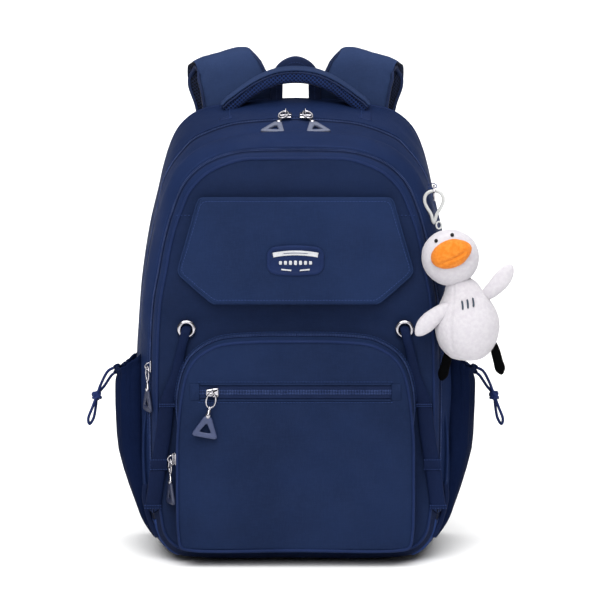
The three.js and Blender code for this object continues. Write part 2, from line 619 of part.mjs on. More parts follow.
for (const [side, sign] of [['left', -1], ['right', 1]]) {
  addNode(`strap_top_${side}`, strapRise(sign), NAVY_PAD);
  addNode(`strap_pad_${side}`, strapHang(sign), NAVY_PAD);
  const lockTop = STRAP.endZ - GAP;
  const lockX = sign * STRAP.endX;
  const lockFrame = roundedRect(LOCK.width, LOCK.height, 4);
  for (const z of [-LOCK.height / 4, LOCK.height / 4]) {
    const slot = roundedRect(LOCK.slotWidth, LOCK.slotHeight, 1);
    lockFrame.holes.push(new THREE.Path(slot.getPoints(2).map((p) => new THREE.Vector2(p.x, p.y + z))));
  }
  const lock = prism(lockFrame, LOCK.frontY, LOCK.frontY + LOCK.thickness, 1, 3);
  addNode(`ladder_lock_${side}`, lock.translate(lockX, 0, lockTop - LOCK.height / 2), BUCKLE);
  const webTop = lockTop - LOCK.height - 2.5;
  const webRoute = [
    [lockX, 106, webTop], [sign * 90, 104.5, webTop - 35], [sign * 106, 100, 84],
    [sign * ANCHOR[0], ANCHOR[1], ANCHOR[2]],
  ];
  const webSection = bandSection(WEBBING.width, WEBBING.thickness);
  addNode(`lower_webbing_${side}`, sweep(webRoute, webSection, [1, 0, 0], 10), WEB_NAVY);
}

// ---------------------------------------------------------------- back padding
const PAD = { inner: 12, outer: 66, bottom: 120, top: 380, thickness: 6, corner: 14 };
function padGeometry(width, height) {
  const shape = roundedRect(width, height, PAD.corner);
  return prism(shape, REAR_Y + GAP, REAR_Y + GAP + PAD.thickness, 1, 4);
}
for (const [side, sign] of [['left', -1], ['right', 1]]) {
  const pad = padGeometry(PAD.outer - PAD.inner, PAD.top - PAD.bottom);
  pad.translate(sign * (PAD.inner + PAD.outer) / 2, 0, (PAD.top + PAD.bottom) / 2);
  addNode(`back_pad_${side}`, pad, NAVY_PAD);
}

// ---------------------------------------------------------------- plush charm
const HEAD = { at: [154.5, -90, 311], radii: [29, 25, 28.5] };
const BODY_AXIS = [171.5, -90];
const BODY_PROFILE = [[0, 206.8], [16, 210], [28, 222], [33, 241], [30, 258], [21, 274], [12, 288], [0, 292]];

function ellipsoid(at, radii, turn = 0, detail = 12) {
  const ball = new THREE.SphereGeometry(1, detail, Math.round(detail * 0.7));
  return ball.scale(...radii).rotateY(turn).translate(...at);
}
const headBall = (grow) => ellipsoid(HEAD.at, HEAD.radii.map((r) => r + grow), 0, 16);
function bodyPear(grow) {
  const profile = BODY_PROFILE.map(([r, z]) => new THREE.Vector2(r === 0 ? 0 : r + grow, z));
  const pear = new THREE.LatheGeometry(profile, 16).rotateX(Math.PI / 2);
  return pear.scale(1, 0.88, 1).translate(BODY_AXIS[0], BODY_AXIS[1], 0);
}
const plushGap = GAP + 0.1;
addNode('charm_head', headBall(0), PLUSH_WHITE);
const beak = ellipsoid([HEAD.at[0], HEAD.at[1] - HEAD.radii[1], 316], [20.5, 13, 14], 0.2);
addNode('charm_beak', subtract(beak, headBall(plushGap)), PLUSH_ORANGE);
const wingLeft = ellipsoid([136, -103, 251], [25, 7, 8.5], -0.75);
const wingRight = ellipsoid([204, -90, 287], [24, 7, 8.5], -0.82);
const plushBody = join(bodyPear(0), wingLeft, wingRight);
addNode('charm_body', subtract(plushBody, headBall(plushGap)), PLUSH_WHITE);
const limbCut = [headBall(plushGap), bodyPear(plushGap)];
const legLeft = ellipsoid([150, -90, 205], [5, 5, 19], -0.16);
const legRight = ellipsoid([203, -90, 209], [5.4, 5.4, 19], 0.12);
addNode('charm_leg_left', subtract(legLeft, ...limbCut), PLUSH_BLACK);
addNode('charm_leg_right', subtract(legRight, ...limbCut), PLUSH_BLACK);

// The clip hangs in a ring that stands on a thread loop at the edge of the front.
const CLIP = { halfWidth: 9.5, halfHeight: 15, thickness: 5.2, drop: 18.5 };
const clipShape = new THREE.Shape();
clipShape.absellipse(0, 0, CLIP.halfWidth, CLIP.halfHeight, 0, 2 * Math.PI);
const clipWindow = new THREE.Path();
clipWindow.absellipse(0, -1, 5.6, 10.5, 0, 2 * Math.PI);
clipShape.holes.push(clipWindow);
const HANGER = { radius: 7.2, wire: 1.1, drop: 4 };
const hangerX = CHARM.x + 5;
const hangerY = CHARM.y - 8;
const clip = prism(clipShape, -CLIP.thickness / 2, CLIP.thickness / 2);
addNode('charm_clip', clip.translate(hangerX, hangerY, CHARM.z - CLIP.drop), CLIP_WHITE);
const hangerRing = new THREE.TorusGeometry(HANGER.radius, HANGER.wire, 6, 16).rotateY(Math.PI / 2);
addNode('charm_hanger', hangerRing.translate(hangerX, hangerY, CHARM.z - HANGER.drop), CHROME);

export default bag;
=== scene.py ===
"""School backpack: fabric, zips, straps, hardware and a plush charm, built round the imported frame."""

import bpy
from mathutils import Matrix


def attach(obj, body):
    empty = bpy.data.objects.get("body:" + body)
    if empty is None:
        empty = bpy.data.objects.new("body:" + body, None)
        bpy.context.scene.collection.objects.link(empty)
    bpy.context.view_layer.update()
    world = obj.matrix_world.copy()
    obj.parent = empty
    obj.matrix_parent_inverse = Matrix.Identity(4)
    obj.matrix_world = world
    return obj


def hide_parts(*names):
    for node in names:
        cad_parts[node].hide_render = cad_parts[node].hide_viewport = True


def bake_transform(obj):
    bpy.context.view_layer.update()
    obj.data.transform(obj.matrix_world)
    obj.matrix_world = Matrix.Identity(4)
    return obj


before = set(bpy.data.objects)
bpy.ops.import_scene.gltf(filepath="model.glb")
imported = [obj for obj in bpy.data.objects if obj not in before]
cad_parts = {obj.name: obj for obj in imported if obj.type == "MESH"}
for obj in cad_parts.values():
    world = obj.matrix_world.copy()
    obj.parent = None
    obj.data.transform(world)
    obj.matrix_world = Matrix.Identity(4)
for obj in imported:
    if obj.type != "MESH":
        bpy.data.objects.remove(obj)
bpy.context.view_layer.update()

import math

import bpy
import numpy as np
from mathutils import Matrix, Vector, noise

# ---------------------------------------------------------------- driving sizes, in millimetres
MM = 0.001
VIEW = {"target": (4.5, 0, 254), "elevation": 9, "distance": 8000, "width": 606}
SUNS = {"key": ((-0.12, -1.0, 0.9), 45, 2.8), "glow": ((0.05, 0.0, 1.6), 90, 3.2)}
WORLD_LIGHT = 0.18
FLOOR_HALF, FLOOR_DROP = 30000, 0.8
SIDES = (("left", -1), ("right", 1))
FORWARD, UP = (0, -1, 0), (0, 0, 1)
LOOP = 480  # points round the bag
BASE_SHARE = 0.27  # of half the loop is the base, its two corners included
CLOTH, RIM_CLOTH, THIN_TAPE = 1.4, 1.2, 0.7  # thicknesses of fabric

# Half outlines of the bag, from the middle of the base round to the middle of the top, as (x, z).
REAR = [(0, 2), (110, 2), (136, 6), (150, 20), (154, 45), (157, 110), (158.5, 180), (154.5, 250), (148, 303),
        (137.5, 356), (128, 396), (117, 419), (99, 434), (70, 441), (36, 445.5), (0, 447)]
MAIN_ZIP = [(0, 1), (108, 1), (133, 5), (147, 20), (152, 45), (156, 110), (157, 200), (154, 250), (148, 300),
            (139, 345), (131.8, 376), (123.7, 391.5), (113.6, 405), (103, 416), (87, 424), (70, 430),
            (56, 433), (0, 437.5)]
CREASE = [(0, 1), (104, 1.5), (128, 6), (142, 22), (148, 50), (152, 110), (153, 180), (151, 240), (147, 280),
          (140, 325), (132.3, 360), (124.7, 379), (119.7, 389), (110.6, 400), (95, 412.7), (74, 421),
          (54, 425.4), (0, 429.5)]
FRONT_ZIP = [(0, 4.5), (97, 5), (121, 9.5), (135.5, 25), (141, 50), (143, 110), (143, 215), (140, 265),
             (134.5, 295), (130.5, 317), (125, 340), (117, 364.5), (111.5, 377), (104, 388), (91, 399.5),
             (75, 407.5), (56, 412.5), (38, 414), (0, 414.5)]
PIPING = [(0, 12), (95, 12), (118, 16), (130, 28), (135, 50), (138, 110), (138, 217), (134.8, 267),
          (129.2, 297.5), (125.2, 320), (119.7, 341.5), (111.8, 363), (106.6, 375), (99, 385.4),
          (87.4, 395.7), (72, 403.4), (53, 409), (36, 410), (0, 410)]
POCKET = [(0, 17), (104, 17), (114, 20), (117, 34), (118, 60), (118, 100), (117.7, 130), (114.6, 162),
          (109.6, 190), (105, 202), (97.5, 212), (85.7, 220), (73, 225), (40, 228), (0, 228.4)]
REAR_Y, MAIN_ZIP_Y, CREASE_Y, FRONT_ZIP_Y, RIM_Y, PIPING_Y = 84, 5, -35, -72, -76, -83
SLOT = {"half": 96, "z": 178}

# Stretches of fabric that two bodies share: the two bodies, and where the blend starts and ends, in metres.
BLENDS = {
    "fold": ("bag", "front_top", (0, -0.084, 0.225), (0, -0.084, 0.295)),
    "handle_bend": ("bag", "haul_handle", (0, 0.066, 0.447), (0, 0.066, 0.464)),
    "thread_bend": ("front_top", "charm_hanger", (0.1328, -0.0505, 0.376), (0.1375, -0.0545, 0.376)),
}
for side, sign in SIDES:
    strap = f"strap_{side}"
    BLENDS[f"{strap}_bend"] = ("bag", strap, (0, 0.0965, 0.47), (0, 0.106, 0.47))
    BLENDS[f"{strap}_webbing"] = ("bag", strap, (sign * 0.124, 0.093, 0.034), (sign * 0.084, 0.106, 0.157))

scene = bpy.context.scene


# ---------------------------------------------------------------- camera, light and floor
def aim(obj, target):
    obj.rotation_mode = "QUATERNION"
    obj.rotation_quaternion = (Vector(target) - obj.location).to_track_quat("-Z", "Y")


def add_camera():
    data = bpy.data.cameras.new("camera")
    data.sensor_width = 36
    data.lens = data.sensor_width * VIEW["distance"] / VIEW["width"]
    data.clip_end = 100
    camera = bpy.data.objects.new("camera", data)
    scene.collection.objects.link(camera)
    target = Vector(VIEW["target"]) * MM
    rise = math.radians(VIEW["elevation"])
    camera.location = target + Vector((0, -math.cos(rise), math.sin(rise))) * VIEW["distance"] * MM
    aim(camera, target)
    scene.camera = camera


def add_sun(name, place, angle, strength):
    data = bpy.data.lights.new(name, "SUN")
    data.angle = math.radians(angle)
    data.energy = strength
    lamp = bpy.data.objects.new(name, data)
    scene.collection.objects.link(lamp)
    lamp.location = place
    aim(lamp, (0, 0, 0))


def add_studio():
    world = bpy.data.worlds.new("studio")
    world.use_nodes = True
    background = world.node_tree.nodes["Background"]
    background.inputs["Color"].default_value = (1, 1, 1, 1)
    background.inputs["Strength"].default_value = WORLD_LIGHT
    scene.world = world
    scene.view_settings.view_transform = "Standard"
    for name, settings in SUNS.items():
        add_sun(name, *settings)
    corners = [(x * FLOOR_HALF, y * FLOOR_HALF, 0) for x, y in ((-1, -1), (1, -1), (1, 1), (-1, 1))]
    floor = mesh_object("floor", corners, [(0, 1, 2, 3)], paint("floor_paint", (0.94, 0.94, 0.94), 0.9))
    floor.location.z = -FLOOR_DROP * MM


# ---------------------------------------------------------------- lines
def between(t, low, high, a, b):
    """What lies at t, where a lies at low and b at high."""
    return (high - t) / (high - low) * a + (t - low) / (high - low) * b


def spline(points, closed=False, steps=12):
    """A smooth line through the points that doesn't overshoot where they are unevenly spaced."""
    p = np.array(points, float)
    before, after = (p[-1:], p[:2]) if closed else (2 * p[:1] - p[1:2], 2 * p[-1:] - p[-2:-1])
    p = np.vstack([before, p, after])
    line = []
    for a, b, c, d in zip(p, p[1:], p[2:], p[3:]):
        t1, t2, t3 = np.cumsum([np.linalg.norm(v - u) ** 0.5 for u, v in ((a, b), (b, c), (c, d))])
        t = np.linspace(t1, t2, steps, endpoint=False)[:, None]
        bc = between(t, t1, t2, b, c)
        abc = between(t, 0, t2, between(t, 0, t1, a, b), bc)
        bcd = between(t, t1, t3, bc, between(t, t2, t3, c, d))
        line.append(between(t, t1, t2, abc, bcd))
    line.append(p[-2:-1])
    return np.vstack(line)


def distances(line):
    """How far along the line each of its points lies."""
    return np.r_[0, np.cumsum(np.linalg.norm(np.diff(line, axis=0), axis=1))]


def resample(line, count):
    line = np.array(line, float)
    along = distances(line)
    at = np.linspace(0, along[-1], count)
    return np.column_stack([np.interp(at, along, column) for column in line.T])


def resample_closed(line, count):
    return resample(np.vstack([line, line[:1]]), count + 1)[:-1]


def smooth_line(points, count):
    return resample(spline(points), count)


def half_loop(outline, count=LOOP):
    """The whole closed outline from half of it: first its right side upwards, then its left side down."""
    right = resample(spline(outline), count // 2 + 1)
    return np.vstack([right, right[-2:0:-1] * (-1, 1)])


def mirrored(half):
    """A whole line from its right half, whose last point is doubled where the two halves meet."""
    half = np.array(half, float)
    return np.vstack([half, half[::-1] * (-1, 1)])


def arched(half):
    """A whole line over the bag from its right half, which ends in the middle."""
    half = np.array(half, float)
    return np.vstack([half, half[-2::-1] * (-1, 1, 1)])


def standing(flat, depth):
    """Stands a flat outline of (x, z) points up at a depth, or at one depth for each point."""
    return np.column_stack([flat[:, 0], np.broadcast_to(depth, len(flat)), flat[:, 1]])


def turns(count):
    """Evenly spaced angles round a circle."""
    return np.arange(count) / count * 2 * math.pi


def circle(radius, sides, flat=1.0):
    a = turns(sides)
    return np.column_stack([radius * np.cos(a), radius * flat * np.sin(a)])


def smoothstep(x, low, high):
    t = np.clip((np.asarray(x, float) - low) / (high - low), 0, 1)
    return t * t * (3 - 2 * t)


def bump(x, centre, width):
    return np.exp(-(((np.asarray(x, float) - centre) / width) ** 2))


def rough(points, scale, seed=0.0):
    """Smooth noise at each point; scale is in waves per metre along each axis, or one number for all."""
    p = np.array(points, float).reshape(-1, 3) * MM * np.array(scale, float) + seed
    return np.array([noise.noise(Vector(v)) for v in p]).reshape(np.shape(points)[:-1])


def rough_flat(x, z, waves_x, waves_z, seed):
    """Smooth noise over an upright panel."""
    return rough(np.stack([x, x * 0, z], -1), (waves_x, 1, waves_z), seed)


def unit(v):
    v = np.asarray(v, float)
    return v / np.maximum(np.linalg.norm(v, axis=-1, keepdims=True), 1e-9)


# ---------------------------------------------------------------- meshes
def mesh_object(name, points, faces, material):
    mesh = bpy.data.meshes.new(name)
    mesh.from_pydata((np.array(points, float).reshape(-1, 3) * MM).tolist(), [], faces)
    mesh.update()
    obj = bpy.data.objects.new(name, mesh)
    scene.collection.objects.link(obj)
    obj.data.materials.append(material)
    mesh.shade_smooth()
    return obj


def apply_modifiers(obj):
    bpy.context.view_layer.update()
    made = bpy.data.meshes.new_from_object(obj.evaluated_get(bpy.context.evaluated_depsgraph_get()))
    obj.modifiers.clear()
    obj.data = made
    made.shade_smooth()


def thicken(obj, thickness):
    """Gives a sheet its thickness, inwards."""
    sheet = obj.modifiers.new("thickness", "SOLIDIFY")
    sheet.thickness = thickness * MM
    sheet.offset = -1
    sheet.use_even_offset = False
    apply_modifiers(obj)


def grid_faces(rows, columns, wrap=False, caps=False):
    last = columns if wrap else columns - 1
    faces = [(r * columns + c, r * columns + (c + 1) % columns,
              (r + 1) * columns + (c + 1) % columns, (r + 1) * columns + c)
             for r in range(rows - 1) for c in range(last)]
    if caps:
        faces.append(tuple(range(columns))[::-1])
        faces.append(tuple((rows - 1) * columns + c for c in range(columns)))
    return faces


def surface(name, grid, material, wrap=False, caps=False, flip=False, thickness=0.0):
    """A skin over a grid of points; wrap joins its last column to its first."""
    rows, columns = grid.shape[:2]
    faces = grid_faces(rows, columns, wrap, caps)
    if flip:
        faces = [face[::-1] for face in faces]
    obj = mesh_object(name, grid, faces, material)
    if thickness:
        thicken(obj, thickness)
    return obj


def rounded(name, rings, material, flip=False):
    """A closed skin over rings of points, with a cap at each end."""
    return surface(name, np.array(rings), material, wrap=True, caps=True, flip=flip)


def frames(path, across=None):
    """The side and outward direction at each point of a path; across is the direction of the side."""
    along = unit(np.gradient(np.array(path, float), axis=0))
    if across is not None:
        out = unit(np.cross(along, np.broadcast_to(across, along.shape)))
        return unit(np.cross(out, along)), out
    start = UP if abs(along[0][2]) < 0.9 else (1, 0, 0)
    side = [unit(np.cross(start, along[0]))]
    for t in along[1:]:
        side.append(unit(side[-1] - t * (side[-1] @ t)))
    side = np.array(side)
    return side, unit(np.cross(along, side))


def sweep(path, section, across=None):
    """Carries a section, or one section for each point, along the path: a grid of points."""
    path = np.array(path, float)
    side, out = frames(path, across)
    section = np.broadcast_to(np.array(section, float), (len(path),) + np.shape(section)[-2:])
    return path[:, None] + side[:, None] * section[..., :1] + out[:, None] * section[..., 1:]


def round_ends(sections, path, reach):
    """Draws the sections in over the last stretch at both ends, so that a tube has round ends."""
    along = distances(path)
    near = np.clip(np.minimum(along, along[-1] - along) / reach, 0, 1)
    share = np.sqrt(np.clip(1 - (1 - near) ** 2, 0.0004, 1))
    return sections * share[:, None, None]


def tube(name, path, radius, material, sides=10, flat=1.0, closed=False):
    path = np.array(path, float)
    ring = circle(radius, sides, flat)
    if not closed:
        sections = round_ends(np.broadcast_to(ring, (len(path), sides, 2)), path, radius)
        return rounded(name, sweep(path, sections), material)
    path = np.vstack([path, path[:1]])
    grid = sweep(path, ring, (0, 1, 0))
    turn = unit(path[1] - path[-2])
    out = np.cross(turn, (0, 1, 0))
    side = unit(np.cross(out, turn))
    grid[0] = grid[-1] = path[0] + side * ring[:, :1] + out * ring[:, 1:]
    return surface(name, grid, material, wrap=True)


def band_section(width, thickness, points=5):
    """A flat band's section with round edges."""
    w, t = width / 2, thickness / 2
    a = np.linspace(-math.pi / 2, math.pi / 2, points)
    right = np.column_stack([w - t + t * np.cos(a), t * np.sin(a)])
    across = np.linspace(w - t, -w + t, 6)[1:-1]
    top = np.column_stack([across, np.full(4, t)])
    return np.vstack([right, top, -right, -top])


def ribbon(name, path, width, thickness, across, material):
    """A woven band; width may be one number for each point."""
    sections = [band_section(w, thickness) for w in np.broadcast_to(width, len(path))]
    return rounded(name, sweep(path, sections, across), material)


def scatter(name, places, shape, material):
    """Many copies of a small shape; each place is an origin and three axes."""
    points, faces = shape
    origin, axes = places
    every = origin[:, None] + np.einsum("kj,njc->nkc", points, axes)
    copies = [tuple(i + n * len(points) for i in face) for n in range(len(origin)) for face in faces]
    return mesh_object(name, every, copies, material)


def pod(length, width, height, sides=6):
    """A small rounded bar lying along the first axis."""
    stations = [(-0.5, 0.35), (-0.36, 0.92), (0.36, 0.92), (0.5, 0.35)]
    ring = circle(0.5, sides)
    grid = np.array([[(s * length, y * k * width, z * k * height) for y, z in ring] for s, k in stations])
    return grid.reshape(-1, 3), grid_faces(len(stations), sides, wrap=True, caps=True)


def along_path(path, outward, step):
    """Places at even steps on a path, each with its axes along, across and outward."""
    count = max(2, int(distances(path)[-1] / step))
    both = resample(np.hstack([path, np.broadcast_to(outward, path.shape)]), count)
    line, out = both[:, :3], both[:, 3:]
    along = unit(np.gradient(line, axis=0))
    across = unit(np.cross(out, along))
    return line, np.stack([along, across, unit(np.cross(along, across))], axis=1)


def stitching(name, path, outward, step=3.0):
    """A row of thread stitches on a path, lying on the fabric whose outward direction is given."""
    return scatter(name, along_path(path, outward, step), pod(step * 0.7, 0.62, 0.5), THREAD)


def zip_teeth(name, path, outward):
    """Half of a coil zip: small bars across the path."""
    line, axes = along_path(path, outward, 1.55)
    turned = np.stack([axes[:, 1], -axes[:, 0], axes[:, 2]], axis=1)
    return scatter(name, (line, turned), pod(2.5, 0.98, 1.25), TEETH)


def join(name, objects):
    """Joins meshes into one, each with its materials."""
    points, faces, mats, base = [], [], [], 0
    made = bpy.data.meshes.new(name)
    for part in objects:
        index = len(made.materials)
        for material in part.data.materials:
            made.materials.append(material)
        points += [part.matrix_world @ v.co for v in part.data.vertices]
        for polygon in part.data.polygons:
            faces.append(tuple(v + base for v in polygon.vertices))
            mats.append(index + polygon.material_index)
        base += len(part.data.vertices)
        bpy.data.objects.remove(part)
    made.from_pydata(points, [], faces)
    made.polygons.foreach_set("material_index", mats)
    made.update()
    made.shade_smooth()
    obj = bpy.data.objects.new(name, made)
    scene.collection.objects.link(obj)
    return obj


def keep(obj, body, slot, *nodes):
    """Parents a finished piece to its body's empty, or bakes its place in where the body is a shared blend,
    and hides the CAD nodes that it stands for; slot is not used.
    """
    if body in BLENDS:
        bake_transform(obj)
    else:
        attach(obj, body)
    if nodes:
        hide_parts(*nodes)
    return obj


def stitch(name, path, outward, body, slot, step=3.0):
    return keep(stitching(name, np.array(path, float), outward, step), body, slot)


# ---------------------------------------------------------------- materials
def linear(red, green, blue):
    return tuple(((c / 255 + 0.055) / 1.055) ** 2.4 for c in (red, green, blue))


def shade(colour, factor, lift=0.0):
    return tuple(min(1, c * factor + lift) for c in colour)


class Nodes:
    """A short way of writing a material's node tree."""

    def __init__(self, name):
        self.material = bpy.data.materials.new(name)
        self.material.use_nodes = True
        self.tree = self.material.node_tree
        self.shader = self.tree.nodes["Principled BSDF"]
        self.place = self.add("ShaderNodeTexCoord").outputs["Object"]

    def add(self, kind, inputs=(), **settings):
        node = self.tree.nodes.new(kind)
        for key, value in settings.items():
            setattr(node, key, value)
        for key, value in dict(inputs).items():
            self.put(node.inputs[key], value)
        return node

    def put(self, socket, value):
        if isinstance(value, bpy.types.NodeSocket):
            self.tree.links.new(value, socket)
        else:
            socket.default_value = value

    def maths(self, operation, *values):
        return self.add("ShaderNodeMath", enumerate(values), operation=operation).outputs[0]

    def plus(self, a, b):
        return self.maths("ADD", a, b)

    def times(self, a, b):
        return self.maths("MULTIPLY", a, b)

    def over(self, a, b):
        return self.maths("DIVIDE", a, b)

    def wave(self, value, waves):
        return self.maths("SINE", self.times(value, waves))

    def cell(self, value):
        """How far a value is from the middle of its cell, where each whole number starts a new one."""
        return self.maths("SUBTRACT", self.maths("FRACT", value), 0.5)

    def noise(self, scale, detail=3, roughness=0.55, vector=None):
        inputs = {"Vector": vector or self.place, "Scale": scale, "Detail": detail, "Roughness": roughness}
        return self.add("ShaderNodeTexNoise", inputs).outputs[0]

    def streaks(self, scale, detail=2):
        """Noise that is drawn out along the axes by a scale of its own for each."""
        mapping = self.add("ShaderNodeMapping", {"Vector": self.place, "Scale": scale})
        return self.noise(1, detail, vector=mapping.outputs[0])

    def ramp(self, value, low=0.3, high=0.7, a=0.0, b=1.0):
        inputs = {"Value": value, "From Min": low, "From Max": high, "To Min": a, "To Max": b}
        return self.add("ShaderNodeMapRange", inputs, interpolation_type="SMOOTHSTEP").outputs[0]

    def mix(self, share, a, b):
        node = self.add("ShaderNodeMix", {0: share}, data_type="RGBA")
        for socket, colour in ((node.inputs[6], a), (node.inputs[7], b)):
            self.put(socket, colour if isinstance(colour, bpy.types.NodeSocket) else (*colour, 1))
        return node.outputs[2]

    def axes(self):
        return self.add("ShaderNodeSeparateXYZ", {0: self.place}).outputs

    def flat_axes(self):
        """Two directions that lie along the threads on the front, the sides and the top alike."""
        x, y, z = self.axes()
        slant = self.times(y, 0.7)
        return self.plus(x, slant), self.maths("SUBTRACT", z, slant)

    def threads(self, pitch):
        """A plain weave: 0 between the threads and 1 on top of them."""
        return self.ramp(self.times(*[self.wave(w, 2 * math.pi / pitch) for w in self.flat_axes()]), -1, 1)

    def dots(self, pitch, size):
        """Staggered rows of round holes: 1 in a hole."""
        u, v = self.flat_axes()
        row = self.over(v, pitch * 0.5)
        odd = self.maths("MODULO", self.maths("ABSOLUTE", self.maths("FLOOR", row)), 2.0)
        column = self.plus(self.over(u, pitch), self.times(odd, 0.5))
        du = self.times(self.cell(column), pitch)
        dv = self.times(self.cell(row), pitch * 0.5)
        away = self.maths("SQRT", self.plus(self.maths("POWER", du, 2.0), self.maths("POWER", dv, 2.0)))
        return self.ramp(away, size * 0.35, size * 0.62, 1.0, 0.0)

    def wear(self, colour, lighter, amount=0.5):
        """Rubs the colour lighter along the piece's outer edges."""
        edge = self.ramp(self.add("ShaderNodeNewGeometry").outputs["Pointiness"], 0.53, 0.62)
        rubbed = self.times(edge, self.ramp(self.noise(90, 4), 0.35, 0.7, 0.2, 1.0))
        return self.mix(self.times(rubbed, amount), colour, lighter)

    def finish(self, colour, roughness, height, bump, depth, **sockets):
        node = self.add("ShaderNodeBump", {"Height": height, "Strength": bump, "Distance": depth})
        sockets.update(Base_Color=colour, Roughness=roughness, Normal=node.outputs[0])
        for key, value in sockets.items():
            self.put(self.shader.inputs[key.replace("_", " ")], value)
        return self.material


def fabric(name, colour, weave=0.0009, roughness=0.66, sheen=0.03, bump=0.25, ior=1.13):
    """Woven nylon: threads, slubs along them, broad fading, rubbed edges and a soft sheen."""
    n = Nodes(name)
    colour = linear(*colour)
    light = shade(colour, 1.8, 0.004)
    threads = n.threads(weave)
    slubs = n.times(n.plus(n.streaks((140, 900, 900)), n.streaks((900, 900, 140))), 0.5)
    body = n.mix(n.ramp(n.noise(9, 4), 0.3, 0.72), shade(colour, 0.72), colour)
    body = n.mix(n.ramp(slubs, 0.42, 0.62, 0.0, 0.1), body, light)
    body = n.mix(n.times(threads, 0.10), body, light)
    body = n.wear(body, light, 0.45)
    rough_map = n.ramp(n.noise(40, 3), a=roughness - 0.07, b=roughness + 0.09)
    return n.finish(body, rough_map, n.plus(threads, n.times(slubs, 1.4)), bump, 0.00035, IOR=ior,
                    Sheen_Weight=sheen, Sheen_Roughness=0.35, Sheen_Tint=(*shade(colour, 5, 0.1), 1))


def mesh_fabric(name, colour, hole, pitch, size):
    """Padded mesh: staggered dimples over a fine knit."""
    n = Nodes(name)
    colour = linear(*colour)
    dots = n.dots(pitch, size)
    knit = n.threads(0.0011)
    body = n.mix(n.ramp(n.noise(14, 3)), shade(colour, 0.8), shade(colour, 1.15))
    body = n.mix(n.times(knit, 0.25), body, shade(colour, 1.7))
    body = n.mix(dots, body, linear(*hole))
    height = n.plus(n.times(dots, -2.2), n.times(knit, 0.4))
    return n.finish(body, n.ramp(n.noise(60, 2), a=0.68, b=0.86), height, 0.6, 0.0006,
                    Sheen_Weight=0.04, Sheen_Roughness=0.4, IOR=1.2)


def webbing_fabric(name, colour, pitch=0.0016, ribs=0.0028):
    """Woven band: slanted ribs in a herringbone, rubbed along the edges."""
    n = Nodes(name)
    colour = linear(*colour)
    u, v = n.flat_axes()
    zigzag = n.maths("ABSOLUTE", n.cell(n.over(u, ribs)))
    slant = n.plus(n.over(v, pitch), n.times(zigzag, 1.4))
    ribbed = n.ramp(n.wave(slant, 2 * math.pi), -0.7, 0.9)
    body = n.mix(n.ramp(n.noise(25, 4)), shade(colour, 0.75), shade(colour, 1.1))
    body = n.mix(n.times(ribbed, 0.35), body, shade(colour, 1.9))
    body = n.wear(body, shade(colour, 2.4, 0.01))
    return n.finish(body, n.ramp(n.noise(70, 2), a=0.5, b=0.7), ribbed, 0.5, 0.0004,
                    Sheen_Weight=0.05, Sheen_Roughness=0.35, IOR=1.2)


def thread(name, colour):
    """Twisted sewing thread."""
    n = Nodes(name)
    colour = linear(*colour)
    x, y, z = n.axes()
    twist = n.wave(n.plus(n.plus(x, y), z), 5200.0)
    body = n.mix(n.ramp(twist, -1, 1), shade(colour, 0.7), shade(colour, 1.25))
    return n.finish(body, n.ramp(n.noise(200, 2), a=0.5, b=0.7), twist, 0.3, 0.0002, IOR=1.2)


def paint(name, colour, roughness):
    """Matt studio paint with a faint tooth."""
    n = Nodes(name)
    tooth = n.noise(400, 2)
    return n.finish(n.mix(n.ramp(tooth), shade(colour, 0.985), colour), roughness, tooth, 0.05, 0.0005)


def chrome(name):
    """Bright plating with faint brushing, fingerprints and small pits."""
    n = Nodes(name)
    smear = n.ramp(n.noise(220, 4), 0.35, 0.75)
    brushed = n.streaks((3000, 400, 400))
    body = n.mix(smear, linear(190, 187, 192), linear(146, 145, 152))
    roughness = n.plus(n.ramp(smear, 0, 1, 0.13, 0.27), n.times(brushed, 0.05))
    return n.finish(body, roughness, n.plus(brushed, n.noise(900, 2)), 0.06, 0.0002, Metallic=1.0)


def moulded(name, colour, light, roughness=0.42, grain=1400, bump=0.12, shine=0.5):
    """Moulded plastic or rubber: fine spark grain, flow marks and polished edges."""
    n = Nodes(name)
    colour = linear(*colour)
    spark = n.noise(grain, 3)
    flow = n.ramp(n.streaks((60, 60, 180), 3), 0.3, 0.75)
    body = n.wear(n.mix(flow, shade(colour, 0.85), colour), linear(*light), 0.55)
    rough_map = n.ramp(spark, a=roughness - 0.06, b=roughness + 0.1)
    return n.finish(body, rough_map, spark, bump, 0.0002, Specular_IOR_Level=shine)


def plush(name, colour, dark, fuzz=0.15, tuft=0.35, shine=0.12):
    """Short-pile fleece: fine fibres, soft tufts and a faint sheen."""
    n = Nodes(name)
    dark = linear(*dark)
    fibres = n.noise(1500, 4, 0.7)
    tufts = n.noise(260, 4, 0.6)
    body = n.mix(n.ramp(tufts, 0.34, 0.68), dark, linear(*colour))
    body = n.mix(n.ramp(fibres, 0.3, 0.6, 0.25, 0.0), body, dark)
    return n.finish(body, n.ramp(fibres, a=0.82, b=0.96), n.plus(n.times(fibres, 0.6), tufts), tuft, 0.0012,
                    Sheen_Weight=fuzz, Sheen_Roughness=0.5, Specular_IOR_Level=shine)


